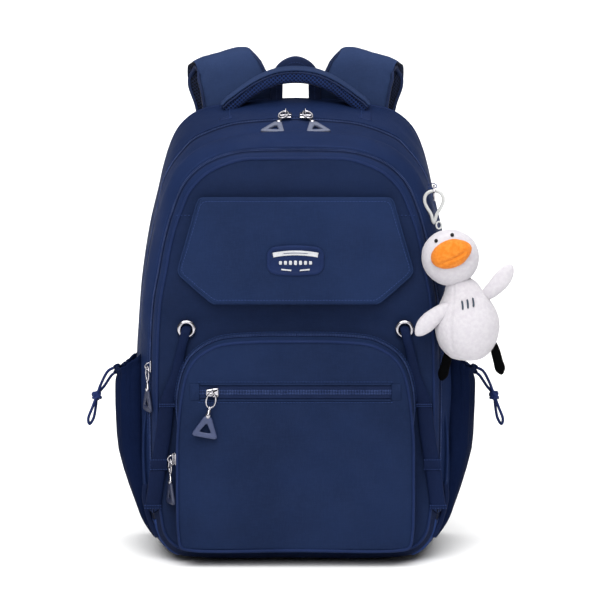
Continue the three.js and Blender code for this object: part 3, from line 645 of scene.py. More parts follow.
NAVY = fabric("body_weave", (20, 34, 67))
FLAP_CLOTH = fabric("flap_weave", (24, 38, 69))
PANEL = fabric("panel_weave", (20, 32, 60))
POCKET_CLOTH = fabric("pocket_weave", (21, 34, 63))
# Darker than the body's navy by painted shade: the side pockets face sideways, and their colour carries the
# shade they get there.
SHADED_SIDE_CLOTH = fabric("side_pocket_weave_painted_shade", (10, 20, 46), sheen=0.0, ior=1.06)
# Darker than the body's navy: partly the bands' own tone, partly painted shade from the shadows along the
# side bands.
SHADED_BAND_CLOTH = fabric("band_weave_painted_shade", (13, 24, 52), sheen=0.01)
BASE_CLOTH = fabric("base_weave", (15, 25, 51), weave=0.0013, bump=0.4)
LINING = fabric("lining_weave", (20, 26, 46), weave=0.0007, roughness=0.6, bump=0.15)
PIPE = fabric("piping_weave", (23, 36, 70), roughness=0.55)
TAPE = fabric("zip_tape_weave", (22, 33, 62), weave=0.0007)
STRAP_CLOTH = fabric("strap_weave", (37, 51, 83))
CORNER = fabric("corner_weave", (30, 48, 92))
STRAP_MESH = mesh_fabric("strap_mesh", (22, 29, 50), (6, 8, 18), 0.0035, 0.0018)
HANDLE_MESH = mesh_fabric("handle_mesh", (27, 45, 88), (7, 13, 34), 0.0042, 0.0021)
BACK_MESH = mesh_fabric("back_mesh", (26, 34, 58), (8, 10, 22), 0.004, 0.0022)
WEB = webbing_fabric("webbing_weave", (22, 33, 62))
BRAID = webbing_fabric("cord_braid", (22, 34, 76), 0.0014, 0.0016)
THREAD = thread("sewing_thread", (40, 58, 104))
MARK_THREAD = thread("slate_thread", (58, 68, 80))
# Lighter than the zip tape: partly the coil's own tone, partly a painted highlight where the coil catches the
# light.
TEETH = moulded("coil_nylon", (36, 52, 94), (66, 84, 132), 0.4, shine=0.15)
CHROME = chrome("plated_metal")
RUBBER = moulded("tab_rubber", (48, 58, 92), (88, 98, 136), 0.5)
RUBBER_PALE = moulded("pale_tab_rubber", (84, 90, 112), (128, 134, 156), 0.45)
RUBBER_DARK = moulded("dark_tab_rubber", (26, 34, 62), (60, 70, 108), 0.5)
BADGE = moulded("badge_rubber", (22, 36, 72), (48, 66, 110), 0.6, shine=0.08)
BADGE_MARK = moulded("badge_mark_rubber", (188, 189, 193), (205, 205, 209), 0.5, shine=0.2)
ACETAL = moulded("buckle_acetal", (5, 6, 8), (26, 28, 34), 0.45, shine=0.25)
CLIP = moulded("clip_gloss", (190, 191, 190), (206, 206, 206), 0.2, 600, 0.04)
FLEECE = plush("white_fleece", (190, 187, 191), (182, 178, 184))
BEAK = plush("orange_fleece", (211, 127, 45), (197, 109, 27), 0.1, 0.5)
BLACK_FLEECE = plush("black_fleece", (2, 3, 4), (1, 1, 2), 0.0, shine=0.02)

# ---------------------------------------------------------------- the drawcords, which lie free
CORD_ROUTE = [(183.2, 6, 184), (189.5, 7.5, 180.4), (196.4, 9, 168), (201.5, 9.6, 154), (206, 10, 142),
              (210.2, 11.4, 130), (208.8, 14, 124.4), (205, 16, 130), (202.6, 15.2, 142), (200.8, 14.6, 154),
              (193.2, 15, 164.4), (186.6, 16.5, 174), (182.8, 18, 177)]
CORD_RADIUS = 1.5
KNOT = (201.3, 12, 154)
KNOT_TURNS = [(0.5, 4.4, 3.6), (-0.7, 4.2, 3.4), (1.45, 3.6, 3.2)]  # tilt and the two radii of each turn


def drawcord(side, sign):
    """One cord leaves the pocket's hem twice, with an overhand knot where its two runs meet."""
    line = resample(spline([(sign * x, y, z) for x, y, z in CORD_ROUTE]), 90)
    cord = tube(f"drawcord_braid_{side}", line, CORD_RADIUS, BRAID, sides=12)
    parts = []
    a = turns(32)
    for k, (tilt, big, small) in enumerate(KNOT_TURNS):
        loop = np.column_stack([big * np.cos(a), small * np.sin(a), 0.9 * np.sin(2 * a + k)])
        turn = np.array(Matrix.Rotation(tilt, 3, "Y") @ Matrix.Rotation(0.5 * k - 0.4, 3, "X"))
        loop = loop @ turn.T + (sign * KNOT[0], KNOT[1], KNOT[2])
        parts.append(tube("turn", loop, 1.55, BRAID, closed=True))
    knot = join(f"drawcord_knot_{side}_turns", parts)
    keep(cord, "bag", "cord", f"drawcord_{side}")
    keep(knot, "bag", "cord", f"drawcord_knot_{side}")


add_camera()
for side, sign in SIDES:
    drawcord(side, sign)
add_studio()

# ---------------------------------------------------------------- the bag's sewn shell
STATIONS = [(REAR_Y, REAR), (MAIN_ZIP_Y, MAIN_ZIP), (CREASE_Y, CREASE), (RIM_Y, FRONT_ZIP),
            (PIPING_Y, PIPING)]
LOOPS = [(y, half_loop(outline)) for y, outline in STATIONS]
BASE_END = round(LOOP / 2 * BASE_SHARE)
SIDES_AND_TOP = np.arange(BASE_END, LOOP - BASE_END + 1)
BASE = np.arange(-BASE_END, BASE_END + 1) % LOOP
GUSSET_PUFF, GUSSET_SKEW = 5.6, 0.85  # how full the front gusset is, and how far its fullness leans
SEAMS = (("main_zip_rear_seam", 13.6, 0.75, "bag"), ("main_zip_front_seam", -3.4, 0.5, "fold"),
         ("front_gusset_seam", -65.6, 2.5, "fold"), ("rear_edge_seam", 79, 1.0, "bag"))


def body_loop(y):
    """The bag's outline at a depth."""
    for (y1, a), (y0, b) in zip(LOOPS, LOOPS[1:]):
        if y >= y0 or y0 == PIPING_Y:
            return standing(a + (b - a) * ((y1 - y) / (y1 - y0)), float(y))


def loop_outward(loop):
    along = np.roll(loop, -1, 0) - np.roll(loop, 1, 0)
    return unit(np.column_stack([along[:, 2], np.zeros(len(loop)), -along[:, 0]]))


def shell_grid(depths, raised, columns=SIDES_AND_TOP, wrinkle=0.0, scale=(18, 30, 18), seed=0.0):
    """Loops at the given depths, each raised by its own height and wrinkled where it is free."""
    rows = []
    free = np.sin(np.linspace(0, math.pi, len(depths)))
    for y, height, share in zip(depths, raised, free):
        loop = body_loop(y)
        folds = rough(loop, scale, seed) * wrinkle * share if wrinkle else np.zeros(LOOP)
        rows.append((loop + loop_outward(loop) * (height + folds)[:, None])[columns])
    return np.array(rows)


def puffed(t, puff, skew=1.0):
    return puff * np.sin(math.pi * t ** skew) ** 0.8


def shell_strip(name, front, back, puff, body, *nodes, rows=18, skew=1.0, **look):
    t = np.linspace(0, 1, rows)
    grid = shell_grid(back + (front - back) * t, puffed(t, puff, skew), **look)
    keep(surface(name, grid, NAVY, flip=True, thickness=RIM_CLOTH), body, "body_fabric", *nodes)


def seam_line(y, height=0.0, columns=SIDES_AND_TOP):
    loop = body_loop(y)
    out = loop_outward(loop)
    return (loop + out * height)[columns], out[columns]


def zip_run(name, y, half, rear, front, recess):
    """A zip round the bag: two tapes and two rows of coil, one half on each side of the parting line."""
    for part, sign, (body, *nodes) in (("rear", 1, rear), ("front", -1, front)):
        depths = y + sign * np.linspace(0.15, half, 6)
        raised = -recess + 0.9 * np.exp(-np.linspace(0, 3, 6))
        tape = surface(f"{name}_{part}_tape", shell_grid(depths, raised), TAPE, flip=sign > 0,
                       thickness=THIN_TAPE)
        keep(tape, body, "zip_tape", *nodes)
        coil = zip_teeth(f"{name}_{part}_coil", *seam_line(y + sign * 1.35, 1.35 - recess))
        keep(coil, body, "zip_tape")


def piping(name, y, body, radius, height):
    line = seam_line(y, height, np.arange(LOOP))[0]
    keep(tube(name, line, radius, PIPE, closed=True), body, "body_fabric")


def lining(name, front, back, body, rows):
    """The lining inside a stretch of the shell, hanging in slack folds."""
    depths = np.linspace(back, front, rows)
    grid = shell_grid(depths, np.full(rows, -3.4), wrinkle=1.2, scale=(9, 26, 9), seed=2.0)
    keep(surface(name, grid, LINING, thickness=0.6), body, "lining")


def add_shell():
    shell_strip("rear_gusset_cloth", 12, 82, 2.2, "bag", "rear_gusset", wrinkle=1.4, seed=3.1, rows=28)
    shell_strip("mid_gusset_cloth", -34, -2, 1.6, "fold", "mid_gusset_upper", wrinkle=2.0, seed=7.7)
    shell_strip("front_gusset_cloth", -67.5, -35.5, GUSSET_PUFF, "fold", "front_gusset_upper",
                "front_panel_lower", wrinkle=2.4, seed=11.3, skew=GUSSET_SKEW)
    shell_strip("front_rim_cloth", -82.6, -76.6, 0.5, "fold", wrinkle=0.2, seed=1.9, rows=6)
    depths = np.r_[np.linspace(83.5, -74, 40), np.linspace(-75, PIPING_Y, 8)]
    tray = shell_grid(depths, np.full(len(depths), -1.2), BASE, wrinkle=0.5, seed=5.0)
    tray = surface("base_tray_cloth", tray, BASE_CLOTH, flip=True, thickness=2.0)
    keep(tray, "bag", "base_fabric", "base_panel")


def add_zips_and_seams():
    zip_run("main_zip", MAIN_ZIP_Y, 7.2, ("bag", "main_zip_rear"), ("fold", "main_zip_front"), 0.1)
    zip_run("front_zip", FRONT_ZIP_Y, 4.6, ("fold", "front_zip_upper"),
            ("fold", "front_zip_lower_left", "front_zip_lower_right"), -0.4)
    for name, y, height, body in SEAMS:
        stitch(name, *seam_line(y, height), body, "body_fabric", 3.2)
    piping("front_piping", PIPING_Y - 0.6, "fold", 1.7, 0.4)
    piping("rear_piping", REAR_Y + 0.3, "bag", 1.8, 0.2)
    lining("main_lining_rear", 13, 81, "bag", 24)
    lining("main_lining_front", -33, -4, "fold", 12)


def add_corner(side, sign):
    """The lighter gusset wedge at a lower front corner."""
    x, z = body_loop(-70)[: LOOP // 2, ::2].T
    right = np.flatnonzero((z > 7) & (z < 44) & (x > 112))
    columns = right if sign > 0 else (LOOP - right) % LOOP
    raised = 1.3 * np.sin(np.linspace(0.15, math.pi - 0.15, 10))
    rows = shell_grid(np.linspace(-79, -57, 10), raised, columns)
    wedge = surface(f"corner_wedge_{side}", rows, CORNER, flip=sign < 0, thickness=0.8)
    keep(wedge, "bag", "base_fabric")


def add_panel_seams():
    """The short seam on the top of the front gusset, and the seams on each side of the flap."""
    depths = np.linspace(-36, -67, 24)
    raised = puffed(np.linspace(0, 1, 24), GUSSET_PUFF, GUSSET_SKEW) + 0.1
    line = [body_loop(y)[LOOP // 2] + (0, 0, height) for y, height in zip(depths, raised)]
    keep(tube("centre_seam", line, 0.8, PIPE, sides=8), "fold", "body_fabric")
    for side, sign in SIDES:
        row = [(sign * x, -85.3 + 0.03 * (x - 98), 353) for x in np.linspace(98, 118, 14)]
        stitch(f"panel_seam_{side}", row, FORWARD, "fold", "body_fabric")


add_shell()
add_zips_and_seams()
for side, sign in SIDES:
    add_corner(side, sign)
add_panel_seams()


# ---------------------------------------------------------------- flat panels
def panel_grid(outline, depth_at, inset, columns=90, rows=110, heights=None):
    """A panel inside an outline: rows across it, with the depth of each point from a function."""
    right = resample(spline(outline), 400)
    low, high = right[0][1] + inset, right[-1][1] - inset
    z = np.linspace(low, high, rows) if heights is None else np.unique(np.clip(heights, low, high))
    right = right[np.argsort(right[:, 1], kind="stable")]
    half = np.interp(z, right[:, 1], right[:, 0])
    half[0] = min(half[0], right[right[:, 1] <= low + 0.4][:, 0].max())
    half[-1] = min(half[-1], right[right[:, 1] >= high - 0.4][:, 0].max())
    u = np.linspace(-1, 1, columns)
    x = u[None] * (half - inset)[:, None]
    zz = np.broadcast_to(z[:, None], x.shape)
    return np.stack([x, depth_at(x, zz, np.abs(u)[None]), zz], axis=-1)


def front_depth(x, z, u):
    """Full above, drawn in between the flap and the lower pocket, and flat behind the pocket."""
    rim = 1 - u ** 10
    sewn = 1 - 0.9 * bump(z, 373, 8)
    full = 3.2 * smoothstep(z, 262, 300) * (1 - smoothstep(z, 385, 412) * 0.8) * (1 - u ** 4) * sewn
    hollow = -4.2 * bump(z, 243, 17) * (1 - u ** 6)
    folds = rough_flat(x, z, 14, 26, 4.4) * 1.6 * rim * sewn
    slack = bump(z, 232, 26) * np.sin(x / 17 + np.sin(z / 13)) * 0.5 * rim
    return -83.6 - full - hollow - folds - slack


def divider_depth(x, z, u):
    return x * 0 - 36.5 + 0.8 * np.sin(x / 31)


def back_depth(x, z, u):
    """A padded back with a channel down its middle and a softly rounded rim."""
    rim = smoothstep(1 - u, 0, 0.1) * smoothstep(z, 4, 26) * (1 - smoothstep(z, 428, 445))
    channel = -1.6 * bump(x, 0, 9) * smoothstep(z, 108, 130) * (1 - smoothstep(z, 372, 396))
    return 84.0 + 1.2 * rim + channel * rim + rough_flat(x, z, 20, 20, 9.0) * 0.6 * rim


def add_panels():
    front = panel_grid(PIPING, front_depth, 0.4, 120, 150)
    front = surface("front_panel_cloth", front, PANEL, thickness=CLOTH)
    keep(front, "fold", "body_fabric", "front_panel_upper")
    divider = surface("divider_lining", panel_grid(CREASE, divider_depth, 3.5, 60, 80), LINING, thickness=1.0)
    keep(divider, "fold", "lining", "divider_upper", "divider_lower")
    back = panel_grid(REAR, back_depth, 0.4, 110, 130)
    back = surface("back_panel_cloth", back, BACK_MESH, flip=True, thickness=1.6)
    keep(back, "bag", "back_fabric", "back_panel")


add_panels()


# ---------------------------------------------------------------- shapes for panels, plates and pads
def plate(name, outline, depth, profile, material):
    """A moulded or cut piece facing forward: rings of the outline, inset and stepped out by the profile."""
    outline = np.array(outline, float)
    along = unit(np.roll(outline, -1, 0) - np.roll(outline, 1, 0))
    inward = np.column_stack([-along[:, 1], along[:, 0]])
    rings = [standing(outline + inward * inset, depth - height) for inset, height in profile]
    return rounded(name, rings, material)


def rounded_rect(width, height, corner, x=0.0, z=0.0, points=7):
    line = []
    for cx, cz, start in ((1, 1, 0), (-1, 1, 90), (-1, -1, 180), (1, -1, 270)):
        a = np.radians(np.linspace(start, start + 90, points))
        line.append(np.column_stack([x + cx * (width / 2 - corner) + corner * np.cos(a),
                                     z + cz * (height / 2 - corner) + corner * np.sin(a)]))
    return resample_closed(np.vstack(line), 96)


def relax(obj, pressure, sewn, frames_run=20, cap=0.0025):
    """Lets a closed fabric skin fill out under pressure, as stuffing does, away from its sewn points."""
    obj.vertex_groups.new(name="sewn").add(sewn, 1.0, "REPLACE")
    cloth = obj.modifiers.new("cloth", "CLOTH")
    settings = {"quality": 6, "mass": 0.2, "tension_stiffness": 18, "compression_stiffness": 18,
                "shear_stiffness": 8, "bending_stiffness": 1.2, "use_pressure": True,
                "uniform_pressure_force": pressure, "vertex_group_mass": "sewn"}
    for key, value in settings.items():
        setattr(cloth.settings, key, value)
    cloth.settings.effector_weights.gravity = 0
    cloth.point_cache.frame_start, cloth.point_cache.frame_end = 1, frames_run
    before = np.array([v.co for v in obj.data.vertices])
    for number in range(1, frames_run + 1):
        scene.frame_set(number)
        obj.evaluated_get(bpy.context.evaluated_depsgraph_get())
    apply_modifiers(obj)
    scene.frame_set(1)
    moved = np.array([v.co for v in obj.data.vertices]) - before
    size = np.linalg.norm(moved, axis=1, keepdims=True)
    after = before + moved * np.minimum(1, cap / np.maximum(size, 1e-9))
    obj.data.vertices.foreach_set("co", after.ravel())


def cushion(name, outline, depth, height, material, rows=26, channels=()):
    """A sewn pad on the back: a domed rounded shape with quilted channels across it."""
    centre = outline.mean(0)
    rings = [standing(outline, depth)]
    for share in np.linspace(1, 0, rows):
        flat = centre + (outline - centre) * max(share, 0.02)
        dome = (1 - share ** 7) ** 0.5 if share < 1 else 0
        dent = sum((bump(flat[:, 1], z, 3.2) for z in channels), np.zeros(len(flat)))
        rings.append(standing(flat, depth + height * dome * (1 - 0.45 * dent)))
    return rounded(name, rings, material, flip=True)


# ---------------------------------------------------------------- the flap and its badge
FLAP = {"top": 371, "bottom": 265, "out": -89.9, "middle": (0, 318)}
FLAP_HALF = [(0, 265), (60, 265), (81, 265), (85, 266.6), (99, 278.5), (114.5, 292.5), (117.2, 297.5),
             (115.8, 304), (107, 334), (98, 366), (95.4, 370.2), (91, 371), (60, 371), (0, 371)]
STITCH_INSET = 3.4


def flap_depth(x, z):
    """The flap's outer face: sewn flat along its top and standing off at its lower edge."""
    down = np.clip((FLAP["top"] - z) / (FLAP["top"] - FLAP["bottom"]), 0, 1)
    lift = 3.0 * down ** 2 + 0.9 * np.sin(math.pi * down)
    folds = rough_flat(x, z, 12, 20, 2.2) * 1.1 * (0.3 + down)
    return FLAP["out"] - lift - folds


def flap_face(x, z, u):
    return flap_depth(x, z) + 1.3 * smoothstep(u, 0.972, 1.0)


def on_flap(outline):
    closed = np.vstack([outline, outline[:1]])
    return standing(closed, flap_depth(*closed.T))


def add_flap():
    cloth = panel_grid(FLAP_HALF, flap_face, 0.2, 100, 76)
    cloth = surface("front_flap_cloth", cloth, FLAP_CLOTH, thickness=2.2)
    keep(cloth, "flap", "body_fabric", "front_flap")
    corners = mirrored(resample(FLAP_HALF, 120))
    middle = np.array(FLAP["middle"])
    shrunk = middle + (corners - middle) * (1 - STITCH_INSET / (np.ptp(corners, axis=0) / 2))
    stitch("flap_outer_stitching", on_flap(shrunk), FORWARD, "flap", "body_fabric", 3.1)
    edge = on_flap(corners)[:-1] + (0, 1.1, 0)
    keep(tube("flap_bound_edge", edge, 0.95, FLAP_CLOTH, sides=8, closed=True), "flap", "body_fabric")


def add_badge():
    """A barrel-shaped rubber badge: a raised rim, an arched band, a row of plain bars and two dashes."""
    z, depth = 308.5, -91.6
    outline = rounded_rect(57, 31, 9, 0, z)
    outline[:, 1] = z + (outline[:, 1] - z) * (1 - 0.17 * (outline[:, 0] / 28.5) ** 2)
    profile = [(0, 0), (0, 1.5), (0.5, 2.1), (1.6, 2.4), (2.9, 2.3), (3.5, 1.8), (4.0, 1.5), (8, 1.6)]
    keep(plate("badge_plate", outline, depth, profile, BADGE), "flap", "badge_plastic", "badge")
    arc = np.linspace(-1, 1, 25)
    over = np.column_stack([arc * 22.5, 0 * arc + depth - 1.9, z + 5.6 + 2.2 * (1 - arc ** 2)])
    marks = [ribbon("over", over, 4.8, 0.8, UP, BADGE_MARK)]
    marks.append(tube("line", (over + (0, -0.45, 0))[5:-5], 0.32, BADGE, sides=6))
    for end in (-1, 1):
        under = over * (0.22, 1, 0) + (end * 9.2, 0, z - 9.4)
        under[:, 2] += end * arc * 0.5
        marks.append(ribbon("under", under, 1.5, 0.8, UP, BADGE_MARK))
        dot = [(end * 19, depth - 2.2, z + 6.1), (end * 19, depth - 2.7, z + 6.1)]
        marks.append(tube("dot", dot, 0.8, BADGE, sides=8))
    for x in np.linspace(-15, 15, 7):
        shape = rounded_rect(3.0, 4.4 - 0.06 * abs(x), 0.8, x, z - 2.2, 4)
        marks.append(plate("bar", shape, depth - 1.5, [(0, 0), (0, 0.6), (0.3, 0.8)], BADGE_MARK))
    keep(join("badge_marks", marks), "flap", "badge_plastic")


add_flap()
add_badge()


# ---------------------------------------------------------------- the lower pocket
POCKET_LOOP = half_loop(POCKET, 360)
POCKET_HALF = 118


def pocket_ring(depth, spread):
    """The pocket's outline at a depth, spread outwards above the base."""
    along = np.roll(POCKET_LOOP, -1, 0) - np.roll(POCKET_LOOP, 1, 0)
    out = unit(np.column_stack([along[:, 1], -along[:, 0]]))
    z = POCKET_LOOP[:, 1]
    above = smoothstep(z, 14, 34) * (0.12 + 0.88 * smoothstep(z, 134, 176))
    return standing(POCKET_LOOP + out * spread * above[:, None], float(depth))


def pocket_strip(name, depths, spreads, material, thickness, slot, *nodes, wrinkle=0.0):
    rings = [pocket_ring(depth, spread) for depth, spread in zip(depths, spreads)]
    for ring in rings:
        ring[:, 0] += rough(ring, (20, 26, 22), 6.1) * wrinkle * np.sign(ring[:, 0])
    strip = surface(name, np.array(rings), material, wrap=True, flip=True, thickness=thickness)
    keep(strip, "bag", slot, *nodes)


def pocket_line(depth, spread, above):
    """The part of a ring that is above a height, from side to side, and its outward directions."""
    ring = np.roll(pocket_ring(depth, spread), 180, axis=0)
    line = ring[ring[:, 2] > above]
    return line, unit(line - (0, depth, 110)) * (1, 0, 1)


def pocket_depth(x, z):
    u = np.clip(np.abs(x) / POCKET_HALF, 0, 1)
    swell = 1.9 * (1 - u ** 6) * smoothstep(z, 17, 60) * (1 - 0.7 * smoothstep(z, 196, 228))
    belly = 1.7 * bump(z, 122, 42) * (1 - u ** 5)
    slack = 1.5 * rough_flat(x, z, 11, 15, 8.5) * (1 - u ** 8)
    return -106.4 - swell - belly - slack


def pocket_face(x, z, u):
    """The pocket's panel, with a recess along the slot zip."""
    off = z - SLOT["z"]
    inside = smoothstep(SLOT["half"] + 3 - np.abs(x), 0, 3)
    return pocket_depth(x, z) + 1.7 * inside * bump(off, 0, 8.4) ** 0.5 * (np.abs(off) < 8.6)


def add_pocket():
    rows = np.unique(np.r_[np.linspace(17, 166, 76), np.linspace(167, 189, 40), np.linspace(190, 228.4, 26)])
    face = panel_grid(POCKET, pocket_face, 0.3, 120, heights=rows)
    face = surface("lower_pocket_face", face, POCKET_CLOTH, thickness=1.5)
    keep(face, "bag", "body_fabric", "lower_pocket")
    pocket_strip("pocket_rim_cloth", np.linspace(-106.2, -98.2, 7), np.linspace(0.2, 4.2, 7), POCKET_CLOTH,
                 RIM_CLOTH, "body_fabric", wrinkle=0.4)
    pocket_strip("pocket_zip_tape", np.linspace(-99, -91.8, 6), np.linspace(3.6, 5.4, 6), TAPE,
                 THIN_TAPE, "zip_tape", "pocket_zip")
    pocket_strip("pocket_rear_cloth", np.linspace(-92.4, -84.3, 8), [5.9, 6.6, 7.0, 7.1, 7.0, 6.8, 6.6, 6.4],
                 POCKET_CLOTH, RIM_CLOTH, "body_fabric", wrinkle=0.5)
    for part, depth, spread in (("front", -96.7, 5.1), ("rear", -94.1, 5.7)):
        keep(zip_teeth(f"pocket_zip_{part}_coil", *pocket_line(depth, spread, 90)), "bag", "zip_tape")
    keep(tube("pocket_piping", pocket_ring(-106.9, 0.5), 1.6, PIPE, closed=True), "bag", "body_fabric")
    stitch("pocket_seam", *pocket_line(-91.0, 7.6, 60), "bag", "body_fabric", 3.2)


def slot_row(away, lift):
    """A line along the slot zip, at a height from its middle and lifted off the pocket's face."""
    half, z = SLOT["half"], SLOT["z"] + away
    return [(x, pocket_depth(x, z) + lift, z) for x in np.linspace(-half, half, 100)]


def add_slot():
    for part, sign in (("upper", 1), ("lower", -1)):
        grid = np.array([slot_row(sign * away, 0.9) for away in np.linspace(0.2, 7.2, 5)])
        strip = surface(f"slot_{part}_tape", grid, TAPE, flip=sign < 0, thickness=THIN_TAPE)
        keep(strip, "bag", "zip_tape", "slot_zip")
        coil = zip_teeth(f"slot_{part}_coil", np.array(slot_row(sign * 1.3, 0.35)), FORWARD)
        keep(coil, "bag", "zip_tape")
        lip = np.array(slot_row(sign * 8, -0.1))
        keep(tube(f"slot_{part}_lip", lip, 1.0, POCKET_CLOTH, sides=8), "bag", "body_fabric")
        stitch(f"slot_{part}_stitching", lip + (0, -0.35, sign * 2.4), FORWARD, "bag", "body_fabric")
    z = SLOT["z"]
    for side, sign in SIDES:
        x = sign * (SLOT["half"] + 4.6)
        stop = plate(f"slot_{side}_end", rounded_rect(9.6, 16.5, 1.2, x, z, 4), pocket_depth(x, z) + 0.1,
                     [(0, 0), (0, 0.5), (0.5, 0.8)], POCKET_CLOTH)
        keep(stop, "bag", "webbing")


add_pocket()
add_slot()


# ---------------------------------------------------------------- sliders and pulls
QUARTER = math.pi / 2
PULL_PIVOT = (0, -6.5, 0)


def placed(obj, matrix):
    """Moves a piece that was made round its own origin, in millimetres, to its place."""
    for step in (Matrix.Scale(1 / MM, 4), matrix, Matrix.Scale(MM, 4)):
        obj.data.transform(step)
    return obj


def slider_parts(across):
    """A slider facing forward: two plates, a waist between them, and the bail that the ring hangs in."""
    body = [(-4.5, 6), (-4.5, 2), (-3.9, -1), (-3, -6), (3, -6), (3.9, -1), (4.5, 2), (4.5, 6)]
    profile = [(0.4, 0), (0, 0.3), (0, 1.1), (0.9, 1.4), (0.9, 2.6), (0, 2.9), (0, 3.7), (0.5, 4.1),
               (2.2, 4.2)]
    plates = plate("plates", resample_closed(body, 48), 0, profile, CHROME)
    a = np.linspace(0, math.pi, 17)
    arch = np.column_stack([3.6 * np.cos(a), -3.9 - 5.0 * np.sin(a), 0 * a])
    if not across:
        arch = arch[:, ::-1]
    return [plates, tube("bail", arch, 0.55, CHROME, sides=8, flat=1.1)]


def tab_frame(rubber):
    """A triangular tab with a thick rim and a small window."""
    outer = [(3.0, -24.4), (4.2, -25.6), (12.0, -42), (12.2, -43.8), (10.6, -45.2), (0, -45.4)]
    inner = [(0.9, -31.6), (1.4, -32.4), (5.4, -39.0), (5.5, -39.8), (4.6, -40.4), (0, -40.5)]
    outer, inner = (resample_closed(mirrored(half), 72) for half in (outer, inner))
    profile = ((0.0, 1.0), (-0.03, 0.4), (-0.03, -0.4), (0.0, -1.2), (0.12, -1.6), (0.86, -1.6), (1.0, -1.2),
               (1.02, 0.0), (1.0, 1.2), (0.86, 1.6), (0.12, 1.6), (0.0, 1.0))
    rings = [standing(outer + (inner - outer) * share, depth) for share, depth in profile]
    return surface("tab", np.array(rings), rubber, wrap=True)


def pull_parts(rubber):
    """A ring, a swivelling neck and a triangular rubber tab, hanging down from the origin."""
    a = turns(40)
    ring = np.column_stack([4.7 * np.cos(a), 0 * a, -7.4 + 7.4 * np.sin(a)])
    neck = [(1.0, -13.6), (1.7, -14.4), (1.3, -15.6), (1.3, -17), (1.8, -17.6), (1.8, -21), (2.5, -22),
            (2.5, -25.4)]
    turned = [[(r * math.cos(t), r * 0.82 * math.sin(t), z) for t in a[::3]] for r, z in neck]
    return [tube("ring", ring, 0.8, CHROME, closed=True), rounded("neck", turned, CHROME, flip=True),
            tab_frame(rubber)]


def rotation(*steps):
    """The turns made one after another, each given as its axis and angle."""
    turn = Matrix.Identity(4)
    for axis, angle in steps:
        turn = turn @ Matrix.Rotation(angle, 4, axis)
    return turn


def zipper(name, at, spin=0.0, tilt=0.0, roll=0.0, lean=0.0, sway=0.0, pull_spin=0.0, rubber=RUBBER):
    place = Matrix.Translation(at) @ rotation(("Z", spin), ("X", -tilt), ("Y", roll))
    slider = placed(join(f"{name}_slider_metal", slider_parts(roll != 0)), place)
    keep(slider, f"{name}_slider", "chrome", f"{name}_slider")
    pivot = Matrix.Translation(place @ Vector(PULL_PIVOT))
    hang = pivot @ rotation(("Z", pull_spin), ("X", -lean), ("Y", sway))
    pull = placed(join(f"{name}_pull_tab", pull_parts(rubber)), hang)
    keep(pull, f"{name}_pull", "pull_plastic", f"{name}_pull")


zipper("slot", (-83, -108.8, 178), roll=QUARTER, sway=0.18)
zipper("pocket", (-119, -95.4, 108), spin=-QUARTER, pull_spin=-1.3, sway=-0.05, rubber=RUBBER_DARK)
zipper("front", (-141.9, -71.6, 198), spin=-QUARTER, pull_spin=-1.25, rubber=RUBBER_DARK)
for side, sign in SIDES:
    zipper(f"main_{side}", (sign * 10, 5, 439.5), tilt=QUARTER - 0.206, roll=sign * QUARTER, lean=1.21,
           pull_spin=sign * 0.33, rubber=RUBBER_PALE)


# ---------------------------------------------------------------- grommets, side bands and side pockets
GROMMET = (109, -84.6, 238)
GROMMET_SECTION = [(5.2, 0.2), (5.6, 1.8), (6.9, 2.7), (8.4, 2.4), (9.4, 1.2), (9.5, 0.0)]
BAND = [(109, -82.6, 240), (109.6, -87.2, 236.6), (111.5, -88.8, 229), (115.5, -88.2, 212), (120, -88, 190),
        (127.5, -88.2, 168), (132, -88.2, 134), (138, -88, 95), (143, -86.2, 57)]
KEEPERS = ((161.6, 4.5), (101.4, 12.0), (58, 5.0))  # the height and length of each one on a side band
POCKET_OUT = [(20, 144), (27, 149.5), (33, 153.5), (40, 157), (57, 163.5), (70, 168.5), (88, 174.5),
              (105, 179), (120, 180.6), (150, 181.4), (190, 181.4), (215, 180)]
POCKET_IN = [(20, 138), (30, 143), (40, 148), (110, 155), (180, 156), (215, 155)]
POCKET_FLOOR = 20


def add_side_strip(side, sign):
    """The narrow strip between the front zip and the side pocket, which ends in a soft loop at the base."""
    def route(*points):
        return smooth_line(np.array(points) * (sign, 1, 1), 50)

    line = route((147.2, -58, 152), (149.6, -60, 128), (149.8, -60, 100), (147.6, -61, 66))
    strip = ribbon(f"side_strip_{side}", line, 12, 2.2, unit((sign * 0.55, -0.85, 0.0)), NAVY)
    keep(strip, "bag", "body_fabric")
    arch = route((147.6, -58, 74), (150.6, -64, 76), (152, -68, 66), (149, -70, 50), (143.6, -72, 34),
                 (138, -74, 24))
    keep(tube(f"side_strip_{side}_loop", arch, 2.8, SHADED_BAND_CLOTH, sides=12, flat=0.6), "bag", "body_fabric")


def add_grommet(side, sign):
    x, y, z = GROMMET
    grid = np.array([[(sign * x + r * math.cos(t), y - h, z + r * math.sin(t)) for t in turns(48)]
                     for r, h in GROMMET_SECTION])
    ring = surface(f"grommet_{side}_ring", grid, CHROME, wrap=True, flip=True, thickness=0.8)
    keep(ring, "bag", "chrome", f"grommet_{side}")


